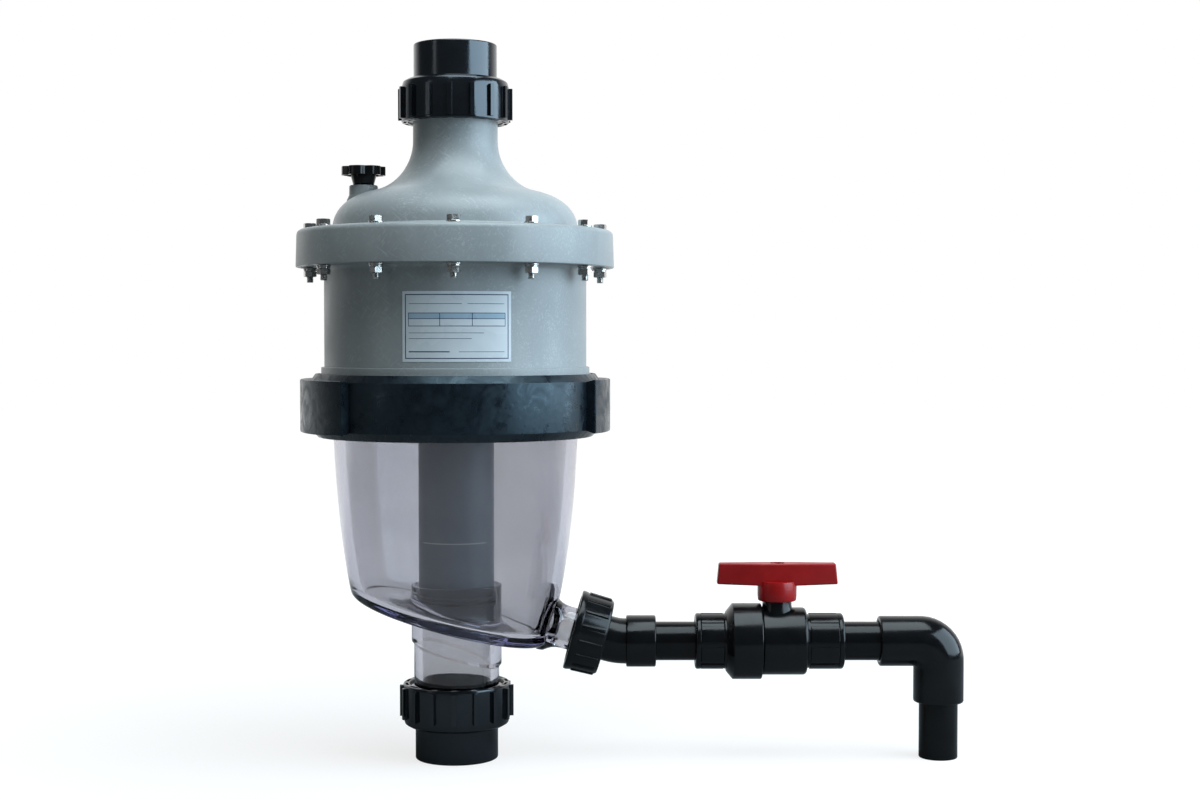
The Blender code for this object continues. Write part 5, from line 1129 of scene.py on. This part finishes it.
def tail_frame(run):
    """Run is the distance along the drain's axis, then round the bend, then along the level pipe."""
    down = Vector((cos(FLOOR_TILT), 0, -sin(FLOOR_TILT)))
    start = BEND - down * BEND_CUT
    before = run - BEND_START
    if before <= 0:
        return path_frame(start + down * before, pi / 2 + FLOOR_TILT)
    if before >= BEND_LENGTH:
        return path_frame(BEND + Vector((BEND_CUT + before - BEND_LENGTH, 0, 0)), pi / 2)
    turn = FLOOR_TILT - before / BEND_RADIUS
    centre = BEND + Vector((BEND_CUT, 0, BEND_RADIUS))
    return path_frame(centre + Vector((-sin(turn), 0, -cos(turn))) * BEND_RADIUS, pi / 2 + turn)


def tail_run(x):
    """The run of a place on the level part, given its X from the vessel's axis."""
    return BEND_START + BEND_LENGTH + (x - BEND.x - BEND_CUT)


arc = [BEND_START + BEND_LENGTH * k / 6 for k in range(7)]
tail = swept(
    "drain_tail_bent",
    [(13.2, 125.9), (17.5, 125.9), (17.5, 123.7), (24.3, 123.7, 0.4), (24.3, 128.5, 0.5), (19.8, 128.5, 0.6)]
    + [(19.8, run) for run in arc]
    + [(19.8, tail_run(148.6)), (20.2, tail_run(148.8)), (22.3, tail_run(149.2), 0.5), (22.5, tail_run(150.6))]
    + [(22.5, tail_run(174.9), 1.5), (17.3, tail_run(174.9), 0.8)]
    + [(17.1, tail_run(154.8)), (13.2, tail_run(154.8))]
    + [(13.2, run) for run in arc[::-1]],
    tail_frame,
)
finished(tail, black_line, "casing", "black_plastic", "drain_union_tail")

# %% [markdown]
# ### Elbow
#
# The elbow's back is a wide bend while its inner corner is almost sharp, so the rings fan out from a point
# near the inner corner, and each ring is stretched until it reaches the outside of the bend. Its bore keeps the
# pipe's size. Both sockets have a rounded rim.

# %% Elbow
ELBOW = Vector((423.712, 0, LINE_Z))
INNER_CORNER = 24.6
BACK_ROUNDING = 16
ELBOW_RADIUS = 21.9
ELBOW_BORE = 13.2
PIVOT = Vector((-INNER_CORNER, 0, -INNER_CORNER))


def elbow_ring(turn, radius, sides=72):
    """The ring where a plane through the pivot cuts the elbow. Turn goes from 0 at the level leg to 90."""
    direction = Vector((sin(turn), 0, cos(turn)))
    ring = []
    near = (INNER_CORNER - radius) / max(cos(turn), sin(turn))
    corner = INNER_CORNER + radius
    bend = radius + BACK_ROUNDING
    knee = corner - bend
    low, high = 0.0, 80.0
    for _ in range(40):
        middle = (low + high) / 2
        place = direction * middle
        x, z = place.x, place.z
        past = Vector((max(x - knee, 0), max(z - knee, 0)))
        inside = x <= corner and z <= corner and (x <= knee or z <= knee or past.length <= bend)
        low, high = (middle, high) if inside else (low, middle)
    reach = (near + low) / 2
    half = (low - near) / 2
    for k in range(sides):
        t = tau * k / sides
        place = PIVOT + direction * (reach + half * cos(t)) + Vector((0, radius * sin(t), 0))
        ring.append(UPRIGHT @ ((ELBOW + place) * MM))
    return ring


def leg_ring(along, radius, level, sides=72):
    """A ring on the straight part of a leg, at a distance from the corner of the centre lines."""
    ring = []
    for k in range(sides):
        t = tau * k / sides
        up = radius * cos(t)
        place = Vector((-along, radius * sin(t), up)) if level else Vector((up, radius * sin(t), -along))
        ring.append(UPRIGHT @ ((ELBOW + place) * MM))
    return ring


turns = [pi / 2 * k / 14 for k in range(15)]
level_leg = rounded([(13.2, 30.6), (17.1, 32.6), (17.3, 52.8, 1.2), (21.9, 52.8, 1.8), (21.9, 25.2)])[1:]
down_leg = rounded([(21.9, 25.2), (21.9, 53.5, 1.8), (17.3, 53.5, 1.2), (17.1, 33.3), (13.2, 33.3)])
rings = [leg_ring(along, radius, True) for radius, along in level_leg]
rings += [elbow_ring(t, ELBOW_RADIUS) for t in turns]
rings += [leg_ring(along, radius, False) for radius, along in down_leg]
rings += [elbow_ring(t, ELBOW_BORE) for t in turns[::-1]]
rings += [leg_ring(32.6, ELBOW_BORE, True)]
elbow = skinned("drain_elbow_moulded", rings, True, sharp=32)
finished(elbow, black_line, "casing", "black_plastic", "drain_elbow")

# %% [markdown]
# ## Drain pipes
#
# Three lengths of one pipe, cut square, with the small bevel that a pipe cutter leaves. Each reaches 20 mm into
# its sockets.

# %% Pipes
PIPE_RADIUS = 16.9
PIPE_BORE = 13.25


def pipe(name, length, matrix, node_name):
    outline = [(PIPE_BORE, 0, 0.5), (PIPE_RADIUS, 0, 0.9), (PIPE_RADIUS, length, 0.9), (PIPE_BORE, length, 0.5)]
    made = turned(name, outline, sides=72)
    placed(made, matrix)
    finished(made, black_pipe, "casing", "black_plastic", node_name)


def along_line(x):
    return UPRIGHT @ Matrix.Translation(Vector((x, 0, LINE_Z)) * MM) @ Matrix.Rotation(pi / 2, 4, "Y")


pipe("drain_pipe_short", 74.0, along_line(155.2), "drain_pipe_1")
pipe("drain_pipe_middle", 71.3, along_line(319.5), "drain_pipe_2")
pipe("drain_pipe_end", 69.0, UPRIGHT @ Matrix.Translation((ELBOW.x * MM, 0, 0)), "drain_end_pipe")

# %% [markdown]
# ## Ball valve
#
# The valve has a body with one fixed socket, a connector with the other socket, and a carrier nut that joins
# them. Both sockets carry raised grip pads between an end lip and the body. The body is drawn along the pipe,
# its neck stands up from it and is joined, and the pads are picked by angle and pushed out.

# %% Valve parts along the pipe
BALL_X = 281.512
SOCKET_SIDES = 80
ON_LINE = Matrix.Translation((0, 0, LINE_Z * MM)) @ Matrix.Rotation(pi / 2, 4, "Y")
AT_BALL = Matrix.Translation((BALL_X * MM, 0, LINE_Z * MM))


def grip_pads(obj, low, high, radius, pads=8, rise=0.9):
    """Pushes out pads on a socket's wall between two heights."""
    only(obj)
    bpy.ops.object.mode_set(mode="EDIT")
    columns = SOCKET_SIDES // pads

    def on_pad(face):
        place = face.calc_center_median()
        level = low * MM < place.z < high * MM
        wall = abs(hypot(place.x, place.y) - radius * MM) < 0.3 * MM
        column = int((atan2(place.y, place.x) % tau) / tau * SOCKET_SIDES) % columns
        return level and wall and 1 <= column < columns - 1

    print("pad faces:", pick("FACE", on_pad))
    bpy.ops.mesh.extrude_region_shrink_fatten(TRANSFORM_OT_shrink_fatten={"value": rise * MM})
    close_up(30)


body = turned(
    "valve_body_moulded",
    [(19.3, 244.0, 0.4), (27.4, 244.0, 0.6), (27.4, 268.3), (29.4, 268.3, 0.7), (29.4, 306.7, 4.2)]
    + [(23.5, 306.8, 0.6), (23.5, 309.6), (23.5, 334.2), (24.4, 334.8, 0.6), (24.4, 339.2, 2.2)]
    + [(17.6, 339.2, 0.6)]
    + [(17.2, 318.6), (12.9, 318.2, 0.5), (12.9, 298.3), (19.3, 298.3)],
    sides=SOCKET_SIDES,
)
placed(body, Matrix.Rotation(radians(90), 4, "Z"))
grip_pads(body, 309.6, 334.2, 23.5)
bevelled(body, 0.35, 2, 38)
placed(body, ON_LINE)
neck = turned("neck", [(0, 20), (15.2, 20), (13.6, 29.2), (12.8, 31.5), (12.8, 36.2, 0.7), (0, 36.2)], sides=64)
placed(neck, AT_BALL)
combine(body, neck)
stem_hole = turned("stem_hole", [(0, 14), (7.15, 14), (7.15, 40), (0, 40)], sides=48)
placed(stem_hole, AT_BALL)
combine(body, stem_hole, "DIFFERENCE")
gate = turned("gate", [(0, 3), (2.6, 3), (2.6, -0.5), (0, -0.5)], sides=32)
placed(gate, Matrix.Translation((285.6 * MM, -29.4 * MM, 99 * MM)) @ Matrix.Rotation(pi / 2, 4, "X"))
combine(body, gate, "DIFFERENCE")
smooth(placed(body, UPRIGHT), 30)
finished(body, black_line, "casing", "black_plastic", "valve_body")

connector = turned(
    "valve_socket_moulded",
    [(17.6, 209.4, 0.6), (24.4, 209.4, 2.2), (24.4, 213.8, 0.6), (23.5, 214.4), (23.5, 234.2), (24.2, 234.8)]
    + [(24.2, 261.4), (26.7, 261.4, 0.4), (26.7, 264.6, 0.4), (12.9, 264.6, 0.4), (12.9, 230.4, 0.5)]
    + [(17.2, 230.0)],
    sides=SOCKET_SIDES,
)
grip_pads(connector, 214.4, 234.2, 23.5)
bevelled(connector, 0.35, 2, 38)
placed(connector, UPRIGHT @ ON_LINE)
finished(connector, black_line, "casing", "black_plastic", "valve_end_connector")

carrier = turned(
    "valve_carrier_nut",
    [(24.7, 236.4, 0.4), (26.2, 236.4, 0.6), (33.2, 242.2, 0.8), (33.2, 267.5, 1.2), (28.0, 267.5, 0.6)]
    + [(28.0, 240.4), (24.7, 240.4)],
    sides=96,
)
placed(carrier, UPRIGHT @ ON_LINE)
finished(carrier, black_line, "valve_nut", "black_plastic", "valve_union_nut")

# %% [markdown]
# ## T-handle
#
# The red handle is a bar that swells in the middle, on a hollow hub. The bar starts as a box: its ends are
# extruded out, pinched and slanted a little, as drawn by the mould. The hub is turned and joined. In the top is
# a shallow round recess with the cap that hides the screw.

# %% Handle
bpy.ops.object.select_all(action="DESELECT")
bpy.ops.mesh.primitive_cube_add(size=1, location=(0, 0, 0))
handle = bpy.context.object
handle.name = "red_t_handle"
bpy.ops.object.mode_set(mode="EDIT")
bpy.ops.transform.resize(value=(26 * MM, 17.6 * MM, 19.4 * MM))
bpy.ops.transform.translate(value=(0, 0, 59.1 * MM))
for side in (1, -1):
    for length, width, height in ((10, 0.86, 0.99), (29.2, 0.74, 0.955)):
        pick("FACE", lambda face: face.normal.x * side > 0.8 and face.calc_center_median().x * side > 12 * MM)
        bpy.ops.mesh.extrude_region_move(TRANSFORM_OT_translate={"value": (side * length * MM, 0, 0)})
        end = max((v.co.x * side for v in bmesh.from_edit_mesh(handle.data).verts))
        bpy.ops.transform.resize(value=(1, width, height), center_override=(side * end, 0, 68.8 * MM))
    pick("FACE", lambda face: face.normal.x * side > 0.8 and face.calc_center_median().x * side > 40 * MM)
    bpy.ops.transform.rotate(
        value=radians(5.5) * side, orient_axis="Y", center_override=(side * 52.4 * MM, 0, 58.5 * MM)
    )
close_up(30)
bevelled(handle, 1.3, 3, 30)
hub = turned(
    "hub",
    [(14.8, 35.9, 0.5), (16.6, 35.9, 1.1), (17.1, 40), (17.2, 50, 0), (16.2, 53.0)]
    + [(0, 53.0), (0, 40.2), (14.8, 40.2)],
    sides=72,
)
combine(handle, hub)
recess = turned("recess", [(0, 66.9), (6.4, 66.9), (6.8, 72), (0, 72)], sides=48)
combine(handle, recess, "DIFFERENCE")
smooth(placed(handle, UPRIGHT @ AT_BALL), 30)
finished(handle, red_plastic, "valve_lever", "red_plastic", "valve_handle")
cap = turned(
    "handle_screw_cap",
    [(0, 65.4), (5.9, 65.4), (5.9, 67.9, 0.6), (2.6, 68.2), (2.2, 67.3), (0, 67.3)],
    sides=48,
)
placed(cap, UPRIGHT @ AT_BALL)
finished(cap, red_plastic, "valve_lever", "red_plastic")

# %% [markdown]
# ## Bleed knob
#
# The knob on the lid lets trapped air out. Its head is a round plate whose rim is drawn in at six waists, which
# leaves six lobes for the fingers, and it is hollow below. The cone and the screw under it are turned.

# %% Knob
KNOB_Z = 510.9 * MM
bpy.ops.object.select_all(action="DESELECT")
bpy.ops.mesh.primitive_circle_add(vertices=96, radius=19.2 * MM, fill_type="NGON", location=(0, 0, 0))
knob = bpy.context.object
knob.name = "bleed_star_knob"
bpy.ops.object.mode_set(mode="EDIT")
bpy.ops.transform.translate(value=(0, 0, KNOB_Z))
for reach, factor in ((15.0, 0.985), (12.0, 0.965), (9.0, 0.955), (6.0, 0.96), (3.2, 0.975)):

    def near_waist(vertex):
        turn = degrees(atan2(vertex.co.y, vertex.co.x)) % 60
        return abs(turn - 30) <= reach

    pick("VERT", near_waist)
    bpy.ops.transform.resize(value=(factor, factor, 1), center_override=(0, 0, KNOB_Z))
pick("FACE", lambda face: True)
bpy.ops.mesh.extrude_region_move(TRANSFORM_OT_translate={"value": (0, 0, 7.7 * MM)})
pick("FACE", lambda face: abs(face.normal.z) > 0.9 and face.calc_center_median().z < 512 * MM)
bpy.ops.mesh.inset(thickness=2.2 * MM, depth=0)
bpy.ops.mesh.extrude_region_move(TRANSFORM_OT_translate={"value": (0, 0, 4.2 * MM)})
close_up(30)
bevelled(knob, 1.0, 3, 32)
neck = turned(
    "neck",
    [(0, 484.8), (5.2, 484.8), (6.1, 486.2), (6.1, 502.8), (9.1, 502.8, 0.5), (11.2, 510.6), (11.2, 516.4)]
    + [(0, 516.4)],
    sides=64,
)
combine(knob, neck)
dimple = turned("dimple", [(0, 517.9), (6.5, 517.9), (7.2, 520), (0, 520)], sides=48)
combine(knob, dimple, "DIFFERENCE")
smooth(placed(knob, UPRIGHT @ Matrix.Translation(boss_place) @ Matrix.Rotation(radians(12), 4, "Z")), 30)
finished(knob, black_line, "bleed_plug", "black_plastic", "bleed_screw")

# %% [markdown]
# ## Data label
#
# The housing carries a pale sticker with a dark blue frame and a ruled table. What is printed on the real one
# is left off, so the fields stay blank. A flat grid is cut along the ruled lines, the narrow strips between two
# cuts take the ink, and the grid is then wrapped round the housing and given the film's thickness.

# %% Label
LABEL_WIDTH = 91.0
LABEL_HEIGHT = 57.6
LABEL_RIGHT = 9.7 * MM
LABEL_Z = 378.0 * MM
LABEL_RADIUS = 114.28 * MM
FILM = 0.25 * MM
STRIP = 3.5
RULE = 0.55
# Ruled lines in mm from the label's middle: (centre across, centre up, width, height)
LINES = [(x, 0, 0.8, 52.0) for x in (-42.8, 42.8)]
LINES += [(0, z, 86.4, 0.8) for z in (-26.0, 26.0)]
LINES += [(0, z, 81.0, RULE) for z in (11.0, 6.4, 0.4)]
LINES += [(x, 5.7, RULE, 11.2) for x in (-40.25, -14.0, 12.5, 40.25)]
LINES += [(-9.0, -5.2, 62.0, 0.4), (-14.0, -9.8, 52.0, 0.4), (-23.0, -20.6, 34.0, 0.9)]
LINES += [(20.5, -20.6, 38.0, 0.4)]
LINES += [(-18.0, 18.6, 44.0, 0.4), (24.0, 18.6, 31.0, 0.4)]

bpy.ops.object.select_all(action="DESELECT")
bpy.ops.mesh.primitive_plane_add(size=1, location=(0, 0, 0), rotation=(radians(90), 0, 0))
label = bpy.context.object
label.name = "data_label_film"
bpy.ops.object.transform_apply(location=True, rotation=True, scale=True)
bpy.ops.object.mode_set(mode="EDIT")
bpy.ops.transform.resize(value=(LABEL_WIDTH * MM, 1, LABEL_HEIGHT * MM))
cuts = {round(edge, 2) for x, z, w, h in LINES for edge in (x - w / 2, x + w / 2)}
cuts |= {round(-LABEL_WIDTH / 2 + STRIP * k, 2) for k in range(1, 26)}
for place in sorted(cuts):
    bpy.ops.mesh.select_all(action="SELECT")
    bpy.ops.mesh.bisect(plane_co=(place * MM, 0, 0), plane_no=(1, 0, 0))
for place in sorted({round(edge, 2) for x, z, w, h in LINES for edge in (z - h / 2, z + h / 2)}):
    bpy.ops.mesh.select_all(action="SELECT")
    bpy.ops.mesh.bisect(plane_co=(0, 0, place * MM), plane_no=(0, 0, 1))


def inked(face):
    place = face.calc_center_median() / MM
    return any(abs(place.x - x) < w / 2 and abs(place.z - z) < h / 2 for x, z, w, h in LINES)


def tinted(face):
    place = face.calc_center_median() / MM
    return abs(place.x) < 40 and 6.4 < place.z < 11.0 and not inked(face)


for material in (label_paper, label_ink, label_tint):
    label.data.materials.append(material)
for slot_index, test in ((1, inked), (2, tinted)):
    print("faces in slot", slot_index, ":", pick("FACE", test))
    label.active_material_index = slot_index
    bpy.ops.object.material_slot_assign()
bpy.ops.mesh.select_all(action="SELECT")
bpy.ops.transform.translate(value=(LABEL_RIGHT, 0, LABEL_Z))
bpy.ops.object.mode_set(mode="OBJECT")
wrapped(label, LABEL_RADIUS)
film = label.modifiers.new("film", "SOLIDIFY")
film.thickness = FILM
film.offset = -1
apply(label, film)
placed(label, UPRIGHT)
only(label)
bpy.ops.object.mode_set(mode="EDIT")
close_up(30)
ready(label, "casing", "white_seat_plastic")

# %% [markdown]
# ## What stays from the CAD model
#
# The cyclones, the valve's ball, stem and seats, and the hidden seals have the right shape already. Only their
# finish changes.

# %% Finishes for the remaining CAD nodes
KEPT = {
    "cyclone_cluster": grey_tube, "vortex_plate": grey_tube, "lid_seal": rubber, "sump_seal": rubber,
    "outlet_union_seal": rubber, "inlet_union_seal": rubber, "drain_union_seal": rubber, "bleed_seal": rubber,
    "stem_seal": rubber, "valve_ball": steel, "valve_stem": steel, "valve_seat_inlet": seat_white,
    "valve_seat_outlet": seat_white,
}  # fmt: skip
for name, material in KEPT.items():
    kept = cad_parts[name]
    kept.data.materials.clear()
    kept.data.materials.append(material)
print("kept from the CAD model:", len(KEPT))
